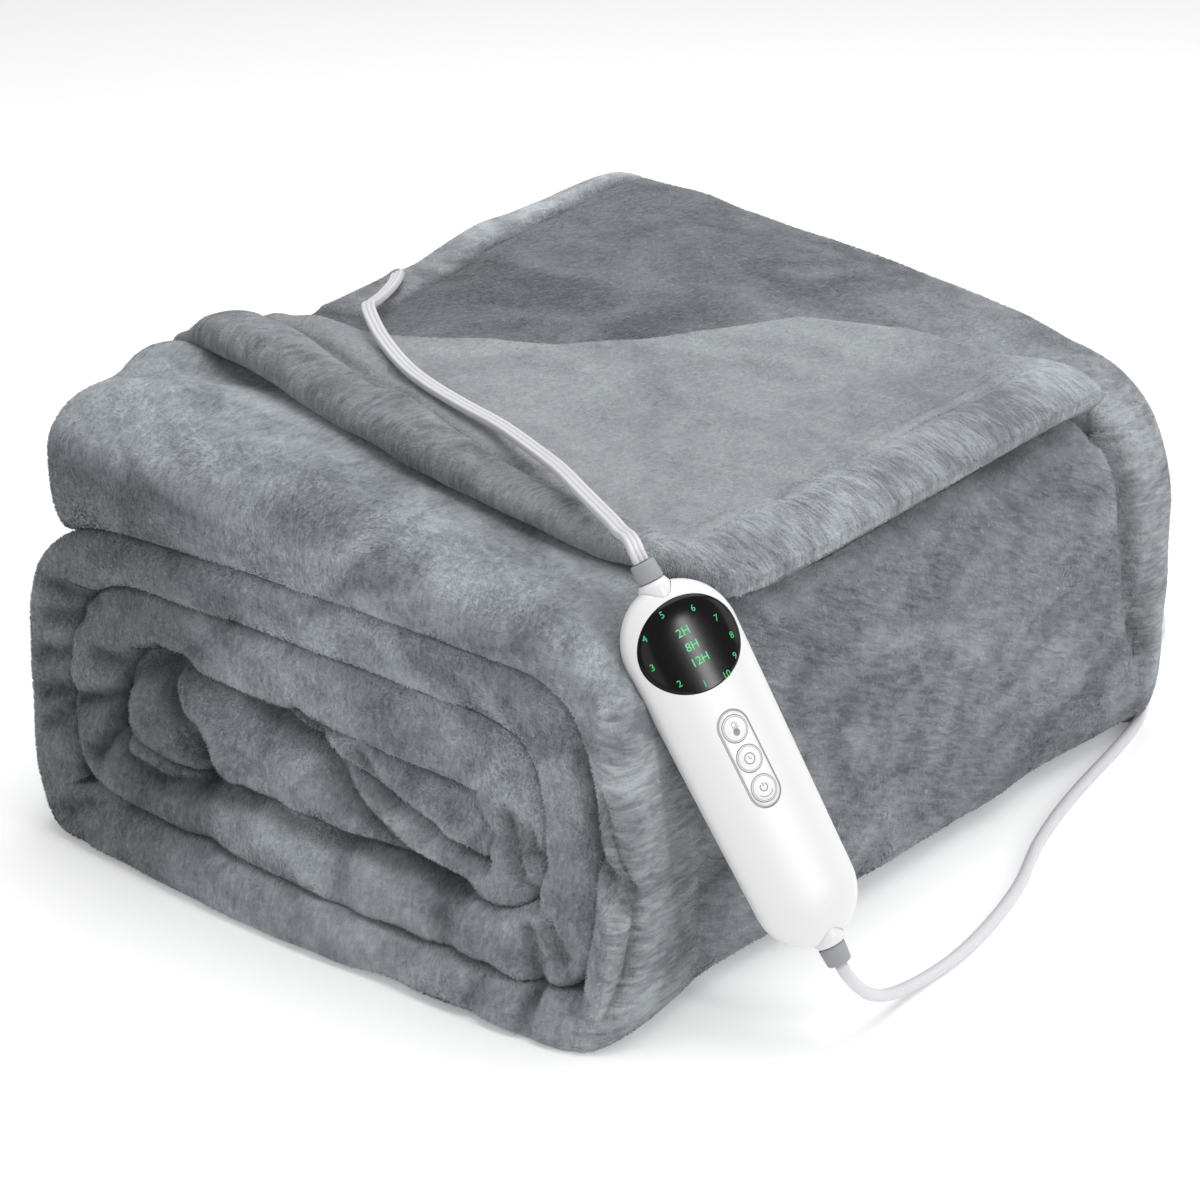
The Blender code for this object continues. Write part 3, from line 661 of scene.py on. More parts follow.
right_side = (roll_x > 140).astype(float)
far_hem = beyond(roll_points, FAR_HEM_SEAM, 1, 1, 2) * right_side
near_hem = np.clip((-168 - roll_y) / 8.0, 0, 1) * (roll_x > 168)
near_hem *= roll_z < 150
top = (roll_z > 195).astype(float)
left_hem = beyond(roll_points, LEFT_HEM_SEAM, 0, -1, 1) * top * (roll_y > -40)
back_hem = np.clip((roll_y - 197) / 3.0, 0, 1) * (roll_z > 150)
hem_mask = np.clip(far_hem + near_hem + left_hem + back_hem, 0, 1) * on_cover
in_crease = np.clip(push * in_rim / 9.0, 0, 1) + np.clip(groove / 7.0, 0, 1)
swell = HEM_SWELL * hem_mask * (1 - 0.5 * near_hem)
roll_points += normals_of(roll_points, faces) * (swell - groove)[:, None]
roll_points[:, 2] = np.maximum(roll_z, 0.0)


# The pile leans in patches, which turn it lighter and darker, and its fine
# strands show as short streaks. One group gives both to every plush piece.
PATCHES_PER_M, BLOTCHES_PER_M, STRANDS_PER_M, FINE_PER_M = 15.0, 62.0, 430.0, 1100.0
DARK_AT, LIGHT_AT = 0.44, 0.92   # where the mixed noise is fully dark, and fully light


def plush_group():
    group = bpy.data.node_groups.new("plush_pile", "ShaderNodeTree")
    for name, way, kind in (("Dark", "INPUT", "Color"), ("Light", "INPUT", "Color"),
                            ("Grain", "INPUT", "Vector"), ("Ribs", "INPUT", "Float"),
                            ("Turn", "INPUT", "Float"), ("Color", "OUTPUT", "Color"),
                            ("Height", "OUTPUT", "Float")):
        group.interface.new_socket(name, in_out=way, socket_type="NodeSocket" + kind)
    entry = add_node(group, "NodeGroupInput").outputs
    where = add_node(group, "ShaderNodeTexCoord").outputs["Object"]

    def cloud(scale, detail, stretch=(1, 1, 1), distortion=0.0, place=where):
        mapping = add_node(group, "ShaderNodeMapping", {"Vector": place, "Scale": stretch})
        texture = add_node(group, "ShaderNodeTexNoise", {
            "Vector": mapping.outputs["Vector"], "Scale": scale, "Detail": detail,
            "Distortion": distortion})
        return texture.outputs["Fac"]

    def combine(operation, a, b):
        return add_node(group, "ShaderNodeMath", {0: a, 1: b}, operation=operation).outputs["Value"]

    turned_about_x = add_node(group, "ShaderNodeVectorRotate", {
        "Vector": where, "Angle": entry["Turn"]}, rotation_type="X_AXIS")
    patches = cloud(PATCHES_PER_M, 3.0, stretch=(1, 1, 1.6), distortion=1.2)
    blotches = cloud(BLOTCHES_PER_M, 3.0, distortion=1.0)
    strands = cloud(STRANDS_PER_M, 2.0, stretch=entry["Grain"], distortion=0.6,
                    place=turned_about_x.outputs["Vector"])
    streaks = combine("MULTIPLY", combine("SUBTRACT", strands, 0.5), entry["Ribs"])
    mixed = combine("ADD", combine("ADD", patches, combine("MULTIPLY", blotches, 0.36)), streaks)
    spread = add_node(group, "ShaderNodeMapRange", {
        "Value": mixed, "From Min": DARK_AT, "From Max": LIGHT_AT})
    blend = add_node(group, "ShaderNodeMix", {
        "Factor": spread.outputs["Result"], "A": entry["Dark"], "B": entry["Light"]},
        data_type="RGBA")
    # painted shade: the colour is scaled by the piece's painted shade, in its creases and shadows
    painted_shade_node = add_node(group, "ShaderNodeAttribute", attribute_name="painted_shade")
    shaded = add_node(group, "ShaderNodeVectorMath", {
        0: blend.outputs["Result"], "Scale": painted_shade_node.outputs["Fac"]}, operation="SCALE")
    height = combine("ADD", combine("MULTIPLY", strands, 0.8), combine("MULTIPLY", blotches, 0.5))
    height = combine("ADD", height, combine("MULTIPLY", cloud(FINE_PER_M, 1.0), 0.35))
    add_node(group, "NodeGroupOutput", {"Color": shaded.outputs["Vector"], "Height": height})
    return group


pile_group = plush_group()
ALONG_THE_PILE = (1.0, 0.5, 0.45)


def plush_material(name, dark, light, grain=ALONG_THE_PILE, relief=0.0012, ribs=0.5, turn=0.0):
    made = plain_material(name, light, 0.95)
    tree = made.node_tree
    plush_look = add_node(tree, "ShaderNodeGroup", {
        "Dark": (*dark, 1.0), "Light": (*light, 1.0), "Grain": grain, "Ribs": ribs,
        "Turn": math.radians(turn)}, node_tree=pile_group)
    bump = add_node(tree, "ShaderNodeBump", {"Height": plush_look.outputs["Height"],
                                             "Strength": 0.9, "Distance": relief})
    wire(principled(made), {
        "Specular IOR Level": 0.15, "Sheen Weight": 0.35, "Sheen Roughness": 0.45,
        "Sheen Tint": (0.8, 0.84, 0.9, 1.0), "Base Color": plush_look.outputs["Color"],
        "Normal": bump.outputs["Normal"]})
    return made


OUTSIDE = ((0.152, 0.165, 0.18), (0.39, 0.416, 0.443))
REVERSE = ((0.25, 0.266, 0.282), (0.415, 0.44, 0.459))
# the hems' plush is lighter: painted light that offsets the shade on their rounded edges
HEM_PAINTED_LIGHT = ((0.20, 0.214, 0.229), (0.46, 0.488, 0.511))
ACROSS_X, ACROSS_Y, ACROSS_Z = (1.0, 0.22, 0.22), (0.22, 1.0, 0.22), (0.22, 0.22, 1.0)
DOWN_THE_SIDE = (0.3, 0.2, 1.0)
plush = plush_material("plush_outside", *OUTSIDE)
plush_side = plush_material("plush_side", *OUTSIDE, DOWN_THE_SIDE, 0.0020, 0.6, turn=22)
plush_reverse = plush_material("plush_reverse", *REVERSE)
hem_near = plush_material("plush_hem_near", *HEM_PAINTED_LIGHT, ACROSS_X, 0.0020, 0.8)
hem_front = plush_material("plush_hem_front", *HEM_PAINTED_LIGHT, ACROSS_Y, 0.0020, 0.8)
hem_far = plush_material("plush_far_hem", *OUTSIDE, ACROSS_Y, 0.0020, 0.8)
hem_upright = plush_material("plush_hem_upright", *HEM_PAINTED_LIGHT, ACROSS_Z, 0.0020, 0.8)


def dress(piece, choices):
    """Gives faces another finish where a mask over the points is mostly 1."""
    mesh = piece.data
    for finish, mask in choices:
        mesh.materials.append(finish)
        for polygon in mesh.polygons:
            if np.mean(mask[list(polygon.vertices)]) > 0.5:
                polygon.material_index = len(mesh.materials) - 1


def fade(values, low, high):
    """0 below low, 1 above high, smooth between."""
    t = np.clip((values - low) / (high - low), 0, 1)
    return t * t * (3 - 2 * t)


def mark(piece, name, values, kind="FLOAT"):
    """Writes a value for each point of a piece."""
    layer = piece.data.attributes.new(name, kind, "POINT")
    layer.data.foreach_set("value" if kind == "FLOAT" else "vector",
                           np.ascontiguousarray(values, dtype=np.float32).ravel())


# painted shadow: on the roll, under the tube at the hem's left end
LEFT_FOLD_SHADOW_LINE, LEFT_FOLD_SHADOW_WIDTH = ((-158, -152, 205), (-128, -140, 214), (-92, -142, 211)), 14
roll = mesh_piece("roll", roll_points, faces, plush)
near_left = fade(-roll_x, 20, 90) * fade(-roll_y, 190, 205) * fade(-roll_z, -197, -182)
far_top = fade(roll_y, -110, -40) * fade(roll_z, 165, 205) * (1 - left_hem)
far_top *= 1 - 0.3 * fade(roll_x, -20, 70)
right_wall = fade(roll_x, 120, 150) * fade(roll_y, -205, -190)
under_hem = right_wall * fade(roll_z, 105, 155) * fade(-roll_y, -150, -120)
beside_control = right_wall * fade(-roll_y, 60, 150) * fade(-roll_z, -120, -80)
left_fold_shadow = np.exp(-(line_distance(roll_points, LEFT_FOLD_SHADOW_LINE) / LEFT_FOLD_SHADOW_WIDTH) ** 2)
# painted shade: the share of its light that the pile loses in each region, painted into its colour
# near left, far top and right wall darker; shadow under hem, beside control, in creases, at left fold
painted_shade = 1.0
for lost, region in ((0.46, near_left), (0.58, far_top), (0.14, right_wall), (0.24, under_hem),
                     (0.18, beside_control), (0.5, np.clip(in_crease, 0, 1)), (0.35, left_fold_shadow)):
    painted_shade = painted_shade * (1 - lost * region)
mark(roll, "painted_shade", painted_shade)
facing_right = (normals_of(roll_points, faces)[:, 0] > 0.6) * (roll_y > -200)
dress(roll, ((plush_side, facing_right), (hem_far, hem_mask * (roll_z > 190)),
             (hem_upright, hem_mask * (roll_z <= 190))))
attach(roll, "base")
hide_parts("blanket")


# ---- the turned-back corner ------------------------------------------------
# The top ply's back left corner, turned back over the roll with its reverse
# side up. A turned hem, sewn down with one seam, runs along its two free edges.
# At the left the hem stands off the roll like a tube, over a pocket in real and painted shadow.
FLAP_COLUMNS = ("x", "near_edge", "crease")
FLAP = (
    (-160, -132, -88),
    (-112, -142, -82),
    (-83, -146, -75),
    (-60, -150, -60),
    (-38, -153, -42),
    (-11, -156, -20),
    (10, -158, 12),
    (27, -159, 52),
    (42, -160, 95),
    (80, -161, 126),
    (117, -157, 142),
    (140, -150, 156),
    (160, -138, 158),
    (176, -112, 158),
)
LOW_EDGE_RISE = 7.0              # the low edge rises towards the far end
SHOULDER = 60                    # right of this x the front hem's thickness counts
CREASE_ROUND = 4.5               # the crease's edge is this round
FLAP_THICK, HEM_THICK, FRONT_HEM_WIDTH = 8.0, 13.5, 29.0
HEM_WIDTHS = ((-80, 42), (0, 34), (70, 27))    # of the near hem, by x
FRONT_HEM_SWELL = 3.6
FLAP_GAP = 1.2
FLAP_LOWEST = 157.0
FLAP_STEP, FLAP_ACROSS = 3.0, 84
SEAM_DEPTH, SEAM_WIDTH = 2.6, 2.6
TUBE_RIGHT, TUBE_LIFT, TUBE_SWELL = -40.0, 3.5, 2.0


def flap_edge(name, x):
    """The place along y of one of the corner's edges, at x."""
    column = FLAP_COLUMNS.index(name)
    return np.interp(x, [row[0] for row in FLAP], [row[column] for row in FLAP])


def flap_surface():
    """The roll's outer line, from the right shoulder up over the top to the left end."""
    chosen = []
    for k in range(len(strip)):
        px = middle[k][0] + outward[k][0] * half[k]
        pz = middle[k][1] + outward[k][1] * half[k]
        if strip[k, ROW_SOFT] > 0 and pz > FLAP_LOWEST and strip_length - strip_at[k] > 4:
            chosen.append((px, pz))
    line = np.array(chosen)
    steps = np.hypot(*np.diff(line, axis=0).T)
    at = np.concatenate(([0.0], np.cumsum(steps)))
    even = np.linspace(0, at[-1], round(at[-1] / FLAP_STEP))
    return np.stack([np.interp(even, at, line[:, c]) for c in (0, 1)], axis=1), even


flap_line, flap_at = flap_surface()
flap_dir = np.gradient(flap_line, axis=0)
flap_dir /= np.linalg.norm(flap_dir, axis=1)[:, None]
flap_out = np.stack((flap_dir[:, 1], -flap_dir[:, 0]), axis=1)


def eased(value):
    """0 below 0, 1 above 1, smooth between."""
    value = min(1.0, max(0.0, value))
    return value * value * (3 - 2 * value)


def hem_height(distance, width, height):
    """Extra thickness at a distance from a free edge: a full hem, its seam, then the cloth."""
    seam = SEAM_DEPTH * math.exp(-((distance - width) / SEAM_WIDTH) ** 2)
    full = height * max(0.0, 1 - (distance / width) ** 4)
    return full - seam


flap_points, flap_hem, flap_seam = [], [], []
total = flap_at[-1]
for k in range(len(flap_line)):
    px, pz = flap_line[k]
    ox, oz = flap_out[k]
    mid_x = px + ox * (FLAP_GAP + FLAP_THICK / 2)
    near = flap_edge("near_edge", mid_x) + 2.0 * noise.noise(Vector((flap_at[k] / 45, 4.4, 0)))
    crease = flap_edge("crease", mid_x) + 2.0 * noise.noise(Vector((flap_at[k] / 60, 9.4, 0)))
    from_right, from_left = flap_at[k], total - flap_at[k]
    hem_width = np.interp(mid_x, *zip(*HEM_WIDTHS))
    low_edge = max(0.0, 1 - from_right / 45.0) if mid_x > 120 else 0.0
    sunk = eased(1 - from_left / 26.0)
    tube = eased((TUBE_RIGHT - mid_x) / 70.0) * eased(from_left / 25.0)
    low = FLAP_GAP - sunk * (FLAP_THICK + FLAP_GAP)
    hem_thick = HEM_THICK + TUBE_SWELL * tube
    rim_half = hem_thick / 2
    closing = max((1 - (1 - min(1.0, from_right / 7.0)) ** 2.4) ** (1 / 2.4), 0.08)

    def raised(y):
        """The hem's tube stands off the roll near its edge."""
        return TUBE_LIFT * tube * eased(1 - (y - near) / (hem_width + 8.0))

    ring = []
    for j in range(13):
        angle = math.pi * j / 12 - math.pi / 2
        y = near + rim_half * (1 - math.cos(angle))
        ring.append((y, low + rim_half * (1 + math.sin(angle) * closing) + raised(y), 1.0))
    for j in range(1, FLAP_ACROSS):
        y = near + rim_half + (crease - CREASE_ROUND - near - rim_half) * j / FLAP_ACROSS
        from_near = y - near
        extra = hem_height(from_near, hem_width, hem_thick - FLAP_THICK)
        if mid_x > SHOULDER:
            front = hem_height(from_right, FRONT_HEM_WIDTH, FRONT_HEM_SWELL)
            extra = max(extra, front) if from_near < hem_width else front
        top_at = low + FLAP_THICK + extra
        centre = low + rim_half
        if from_right < 7:
            top_at = centre + (top_at - centre) * closing
        hem = 1.0 if from_near < hem_width or from_right < FRONT_HEM_WIDTH else 0.0
        ring.append((y, top_at + raised(y), hem))
    for j in range(9):
        angle = math.pi / 2 - math.pi * j / 8
        sink = FLAP_GAP + 3.0
        half_t = (FLAP_THICK + sink) / 2
        ring.append((crease - CREASE_ROUND + CREASE_ROUND * math.cos(angle),
                     low - sink + half_t * (1 + math.sin(angle)), 0.0))
    for j in range(1, 14):
        y = crease - 12 + (near + rim_half + 4 - crease + 12) * j / 14
        ring.append((y, low + raised(y), 0.0))
    for y, offset, hem in ring:
        rise = LOW_EDGE_RISE * low_edge * eased((y + 90) / 235.0)
        flap_points.append((px + ox * offset, y, pz + oz * offset + rise))
        flap_hem.append(hem)
        on_seam = mid_x > SHOULDER and y > near + hem_width
        flap_seam.append(math.exp(-((from_right - FRONT_HEM_WIDTH) / 2.0) ** 2) if on_seam else 0.0)
flap_faces = joined(len(ring), len(flap_line))
flap_points, flap_hem, flap_seam = np.array(flap_points), np.array(flap_hem), np.array(flap_seam)
flap_points += normals_of(flap_points, flap_faces) * (
    1.0 * wave(flap_points, 60, 5) + 0.8 * wave(flap_points, 20, 6))[:, None]
settle(flap_points)
flap_x, flap_y = flap_points.T[:2]
# a crease along the butt of the two hems, and a soft fold of the tube at the left
FLAP_CREASES = (
    (2.4, 2.6, ((153, -117, 184), (162, -119, 180), (171, -121, 173))),
    (5.0, 3.0, ((-111, -96, 224), (-76, -107, 221), (-31, -123, 217))),
    (9.0, -3.0, ((-108, -82, 222), (-80, -92, 220), (-50, -100, 217))),
)
flap_points -= normals_of(flap_points, flap_faces) * troughs(flap_points, FLAP_CREASES)[:, None]
corner = mesh_piece("turned_back_corner", flap_points, flap_faces, plush_reverse)
flap_pushed = troughs(flap_points, FLAP_CREASES)
front_share = fade(flap_x, 120, 142) * flap_hem
# painted shade on the hems, creases and tube's left end; painted light on the front hem; a light seam
# line
mark(corner, "painted_shade", (0.735 - 0.115 * flap_hem) * (1 + 0.45 * front_share + 0.3 * flap_seam)
     * (1 - 0.4 * np.clip(flap_pushed / 3, 0, 1))
     * (1 - 0.3 * fade(-flap_x, 112, 140)))
hems_meet = -118 + 0.9 * (flap_x - 171)       # their butt runs aslant
front_part = (flap_x > 122) & (flap_y > hems_meet)
dress(corner, ((hem_near, flap_hem * ~front_part), (hem_front, flap_hem * front_part)))
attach(corner, "base")


# ---- the pile --------------------------------------------------------------
# Fine polyester strands stand all over the plush and lean in patches. Along the
# hems they are longer and combed across the edge. Each strand is one thin
# three-cornered blade, set on the cloth's surface.
def lean_field(points, base, seed, swirl):
    """Which way the strands lean: a main direction with soft swirls."""
    field = np.stack([wave(points, 42, seed + c) for c in range(3)], axis=1) * swirl
    fine = np.stack([wave(points, 13, seed + 3 + c) for c in range(3)], axis=1) * swirl * 0.7
    return base + field + fine


def strand_tree():
    tree = bpy.data.node_groups.new("strands_on_cloth", "GeometryNodeTree")
    for name, kind in (("Cloth", "Geometry"), ("Strands per square metre", "Float"),
                       ("Length", "Float"), ("Width", "Float"), ("Uprightness", "Float"),
                       ("Seed", "Int"), ("Mask", "String"), ("Finish", "Material")):
        tree.interface.new_socket(name, in_out="INPUT", socket_type="NodeSocket" + kind)
    tree.interface.new_socket("Strands", in_out="OUTPUT", socket_type="NodeSocketGeometry")
    entry = add_node(tree, "NodeGroupInput").outputs

    def attribute(name, kind):
        return add_node(tree, "GeometryNodeInputNamedAttribute", {"Name": name},
                        data_type=kind).outputs["Attribute"]

    def vector(operation, a, b=None):
        sockets = {0: a} if b is None else {0: a, "Scale" if operation == "SCALE" else 1: b}
        return add_node(tree, "ShaderNodeVectorMath", sockets, operation=operation).outputs["Vector"]

    def times(a, b):
        return add_node(tree, "ShaderNodeMath", {0: a, 1: b}, operation="MULTIPLY").outputs["Value"]

    spread = add_node(tree, "GeometryNodeDistributePointsOnFaces", {
        "Mesh": entry["Cloth"], "Seed": entry["Seed"],
        "Density": times(attribute(entry["Mask"], "FLOAT"), entry["Strands per square metre"])})
    # the lean with a stray of its own, laid flat, plus a share of the outward direction
    normal = attribute("outward", "FLOAT_VECTOR")
    stray = add_node(tree, "FunctionNodeRandomValue", {
        "Min": (-0.5, -0.5, -0.5), "Max": (0.5, 0.5, 0.5), "Seed": entry["Seed"]},
        data_type="FLOAT_VECTOR")
    ruffled = vector("ADD", attribute("lean", "FLOAT_VECTOR"), stray.outputs["Value"])
    laid_flat = vector("SUBTRACT", ruffled, vector("PROJECT", ruffled, normal))
    way = vector("ADD", vector("NORMALIZE", laid_flat), vector("SCALE", normal, entry["Uprightness"]))

    # one blade: a triangle with its root at the point, as long and wide as asked
    triangle = add_node(tree, "GeometryNodeMeshCircle", {"Vertices": 3, "Radius": 1.0},
                        fill_type="NGON")
    root = add_node(tree, "GeometryNodeTransform", {
        "Geometry": triangle.outputs["Mesh"], "Translation": (0.5, 0, 0)})
    size = add_node(tree, "ShaderNodeCombineXYZ", {
        "X": times(entry["Length"], 1 / 1.5), "Y": times(entry["Width"], 1 / math.sqrt(3)), "Z": 1.0})
    blade = add_node(tree, "GeometryNodeTransform", {
        "Geometry": root.outputs["Geometry"], "Scale": size.outputs["Vector"]})

    turn = add_node(tree, "FunctionNodeAlignRotationToVector", {"Vector": way}, axis="X")
    face_out = add_node(tree, "FunctionNodeAlignRotationToVector", {
        "Rotation": turn.outputs["Rotation"], "Vector": normal}, axis="Z", pivot_axis="X")
    vary = add_node(tree, "FunctionNodeRandomValue", {
        "Min": 0.65, "Max": 1.35, "Seed": entry["Seed"]}, data_type="FLOAT")
    place = add_node(tree, "GeometryNodeInstanceOnPoints", {
        "Points": spread.outputs["Points"], "Instance": blade.outputs["Geometry"],
        "Rotation": face_out.outputs["Rotation"], "Scale": vary.outputs[1]})
    real = add_node(tree, "GeometryNodeRealizeInstances", {"Geometry": place.outputs["Instances"]})
    finish = add_node(tree, "GeometryNodeSetMaterial", {
        "Geometry": real.outputs["Geometry"], "Material": entry["Finish"]})
    add_node(tree, "NodeGroupOutput", {"Strands": finish.outputs["Geometry"]})
    return tree


strands = strand_tree()
strand_inputs = {item.name: item.identifier for item in strands.interface.items_tree
                 if item.in_out == "INPUT"}


def pile(name, cloth, mask, finish, per_square_metre, length, width, upright, seed):
    """Grows strands over one part of a cloth piece, as a mesh piece of their own."""
    modifier = cloth.modifiers.new("pile", "NODES")
    modifier.node_group = strands
    for label, value in (("Strands per square metre", per_square_metre), ("Length", length * MM),
                         ("Width", width * MM), ("Uprightness", upright), ("Seed", seed),
                         ("Mask", mask), ("Finish", finish)):
        modifier[strand_inputs[label]] = value
    mesh = bpy.data.meshes.new_from_object(
        cloth.evaluated_get(bpy.context.evaluated_depsgraph_get()))
    cloth.modifiers.clear()
    mesh.name = name
    for carried in [a.name for a in mesh.attributes]:
        if carried in ("lean", "outward") or "mask" in carried:
            mesh.attributes.remove(mesh.attributes[carried])
    grown = bpy.data.objects.new(name, mesh)
    bpy.context.scene.collection.objects.link(grown)
    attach(grown, "base")


roll_normals = normals_of(roll_points, faces)
up_share = roll_normals[:, 2]
near_share = np.clip(-roll_normals[:, 1], 0, 1)
right_share = np.clip(roll_normals[:, 0], 0, 1)
under_corner = (roll_y > flap_edge("near_edge", roll_x) + 8) & (
    roll_y < flap_edge("crease", roll_x) - 8)
covered = (under_corner & (roll_z > 178) & (up_share > 0.2)).astype(float)
shown = np.clip((outside - 0.35) * 4, 0, 1) * on_cover
in_face = ((roll_y < -190) & (near_share > 0.05)).astype(float)
lower_wall = (layer_of > 3.9) & (outside > 0.6) & (roll_x < -120)
open_side = np.clip(shown + lower_wall, 0, 1) * (1 - covered) * (up_share > -0.6)
base_lean = np.zeros_like(roll_points)
base_lean[:, 0] = -0.6 * up_share - 0.5 * near_share
base_lean[:, 1] = 0.9 * up_share + 0.6 * right_share
base_lean[:, 2] = -0.7 * right_share - 0.6 * near_share
roll_lean = lean_field(roll_points, base_lean, 20, 1.5)
roll_lean[hem_mask > 0.5] = (base_lean * 2 + roll_lean * 0.35)[hem_mask > 0.5]
mark(roll, "lean", roll_lean, "FLOAT_VECTOR")
mark(roll, "outward", roll_normals, "FLOAT_VECTOR")
clear_of_floor = roll_z > 2.6
not_hem = (1 - 0.999 * hem_mask) * clear_of_floor
mark(roll, "near_mask", in_face * not_hem)
open_side *= (1 - in_face) * not_hem
is_top = up_share > 0.55
far_side = (roll_y > -60) & (roll_z > 185)
mark(roll, "top_mask", open_side * is_top * ~far_side)
mark(roll, "far_top_mask", open_side * is_top * far_side)
mark(roll, "side_mask", open_side * ~is_top * np.clip(0.3 + 0.7 * (right_share > 0.3), 0, 1))
mark(roll, "hem_mask", hem_mask * clear_of_floor)

flap_normals = normals_of(flap_points, flap_faces)
flap_lean = lean_field(flap_points, np.tile((-0.6, 0.9, -0.3), (len(flap_points), 1)), 40, 1.0)
front_hem = (flap_x > 140) & (flap_hem > 0.5)
combed = np.where(front_hem[:, None], (-0.3, 0.5, -0.8), (-0.4, 0.6, -0.7)) + 0.25 * flap_lean
flap_lean[flap_hem > 0.5] = combed[flap_hem > 0.5]
flap_shown = np.clip((flap_normals[:, 2] + 0.5) * 3, 0, 1)
mark(corner, "lean", flap_lean, "FLOAT_VECTOR")
mark(corner, "outward", flap_normals, "FLOAT_VECTOR")
mark(corner, "flat_mask", flap_shown * (1 - flap_hem))
mark(corner, "near_hem_mask", flap_shown * flap_hem * ~front_hem)
mark(corner, "front_hem_mask", flap_shown * flap_hem * front_hem)

PILE_COLUMNS = ("name", "cloth", "mask", "finish", "per_square_metre", "length", "width",
                "upright", "seed")
for row in (
        ("near_end_pile", roll, "near_mask", plush, 1.4e6, 1.5, 0.62, 0.6, 3),
        ("top_pile", roll, "top_mask", plush, 1.6e6, 1.5, 0.62, 0.16, 4),
        ("far_top_pile", roll, "far_top_mask", plush, 1.3e6, 1.5, 0.66, 0.16, 9),
        ("side_pile", roll, "side_mask", plush_side, 1.8e6, 1.5, 0.62, 0.5, 8),
        ("roll_hem_pile", roll, "hem_mask", hem_upright, 1.8e6, 1.8, 0.66, 0.3, 5),
        ("corner_pile", corner, "flat_mask", plush_reverse, 1.6e6, 1.4, 0.62, 0.16, 6),
        ("near_hem_pile", corner, "near_hem_mask", hem_near, 2.4e6, 1.9, 0.62, 0.3, 7),
        ("front_hem_pile", corner, "front_hem_mask", hem_front, 2.4e6, 1.9, 0.62, 0.3, 10)):
    pile(**dict(zip(PILE_COLUMNS, row)))


# ---- the hand control's two shells -----------------------------------------
# Glossy white moulded shells, pillow-shaped, with a hair-line gap between them
# all round. The front one is cut away for the display lens, the keypad and the
# round sockets that hold the cords' necks.
CONTROL_LENGTH = 160.0
TOP_RADIUS, LOW_RADIUS = 25.75, 23.0
SHELL_EDGE, SHELL_CROWN = 6.65, 2.85      # the shell's height: rounded edge, then crown
EDGE_INSET, EDGE_SQUARE, EDGE_RINGS = 18.0, 2.8, 22
CROWN_INSETS = [19.5, 21.0, 22.4, 22.9]
SHELL_GAP = 0.15                # half the hair-line between the shells
FIT = 0.3
LENS_ALONG, LENS_ACROSS, LENS_MIDDLE, LENS_BACK = 38.5, 45.5, 53.0, 4.5
PAD_LENGTH, PAD_WIDTH, PAD_MIDDLE, PAD_BACK = 42.0, 14.0, 2.0, 6.0
CONTROL_TOP, CONTROL_LOW = Vector((164.7, -178.5, 187.4)), Vector((244.7, -164.9, 49.5))
CONTROL_FACES = Vector((0.80, -0.41, 0.43))
ABOVE_ALL = 22.0                # cutters end clear of the shells

along_control = (CONTROL_TOP - CONTROL_LOW).normalized()
out_of_face = (CONTROL_FACES - along_control * CONTROL_FACES.dot(along_control)).normalized()
over_control = along_control.cross(out_of_face)
control_pose = (Matrix.Translation((CONTROL_TOP + CONTROL_LOW) / 2)
                @ Matrix((over_control, along_control, out_of_face)).transposed().to_4x4())
TOP_CENTRE = CONTROL_LENGTH / 2 - TOP_RADIUS
LOW_CENTRE = -CONTROL_LENGTH / 2 + LOW_RADIUS


def half_width(y):
    share = min(1.0, max(0.0, (y - LOW_CENTRE) / (TOP_CENTRE - LOW_CENTRE)))
    return LOW_RADIUS + (TOP_RADIUS - LOW_RADIUS) * share


def shell_height(inset, radius):
    """Height of the crowned face at a distance in from the shell's outline."""
    rise = max(0.0, 1 - inset / EDGE_INSET) ** EDGE_SQUARE
    crown = 1 - (1 - min(inset, radius) / radius) ** 2
    return SHELL_GAP + SHELL_EDGE * (1 - rise) ** (1 / EDGE_SQUARE) + SHELL_CROWN * crown


def face_height(x, y):
    """Height of the front face at a place on the control."""
    if y > TOP_CENTRE:
        radius, reach = TOP_RADIUS, math.hypot(x, y - TOP_CENTRE)
    elif y < LOW_CENTRE:
        radius, reach = LOW_RADIUS, math.hypot(x, y - LOW_CENTRE)
    else:
        radius, reach = half_width(y), abs(x)
    return shell_height(max(0.0, radius - reach), radius)


def lofted(name, rings, finish, flip=False):
    """Rings of equal count, in the control's own frame, joined and closed."""
    points = [control_pose @ Vector(p) for ring in rings for p in ring]
    faces = joined(len(rings[0]), len(rings))
    if flip:
        faces = [tuple(reversed(f)) for f in faces]
    return mesh_piece(name, points, faces, finish)


def shell_ring(inset, side, arc_steps=36):
    ring = []
    for radius, end, start in ((TOP_RADIUS, 1, 0.0), (LOW_RADIUS, -1, math.pi)):
        centre = TOP_CENTRE if end > 0 else LOW_CENTRE
        reach = max(radius - inset, 0.02)
        for k in range(arc_steps + 1):
            angle = start + math.pi * k / arc_steps
            ring.append((reach * math.cos(angle), centre + reach * math.sin(angle),
                         side * shell_height(min(inset, radius), radius)))
    return ring


def shell(name, side, finish):
    """One half of the case: rings of the outline, from its edge to its middle."""
    insets = [EDGE_INSET * (1 - math.cos(math.pi / 2 * k / EDGE_RINGS)) for k in range(EDGE_RINGS + 1)]
    rings = [shell_ring(inset, side) for inset in insets + CROWN_INSETS]
    return lofted(name, rings, finish, flip=side < 0)


def oval(length, width, middle, z, steps=72):
    return [(width / 2 * math.cos(math.tau * k / steps),
             middle + length / 2 * math.sin(math.tau * k / steps), z) for k in range(steps)]


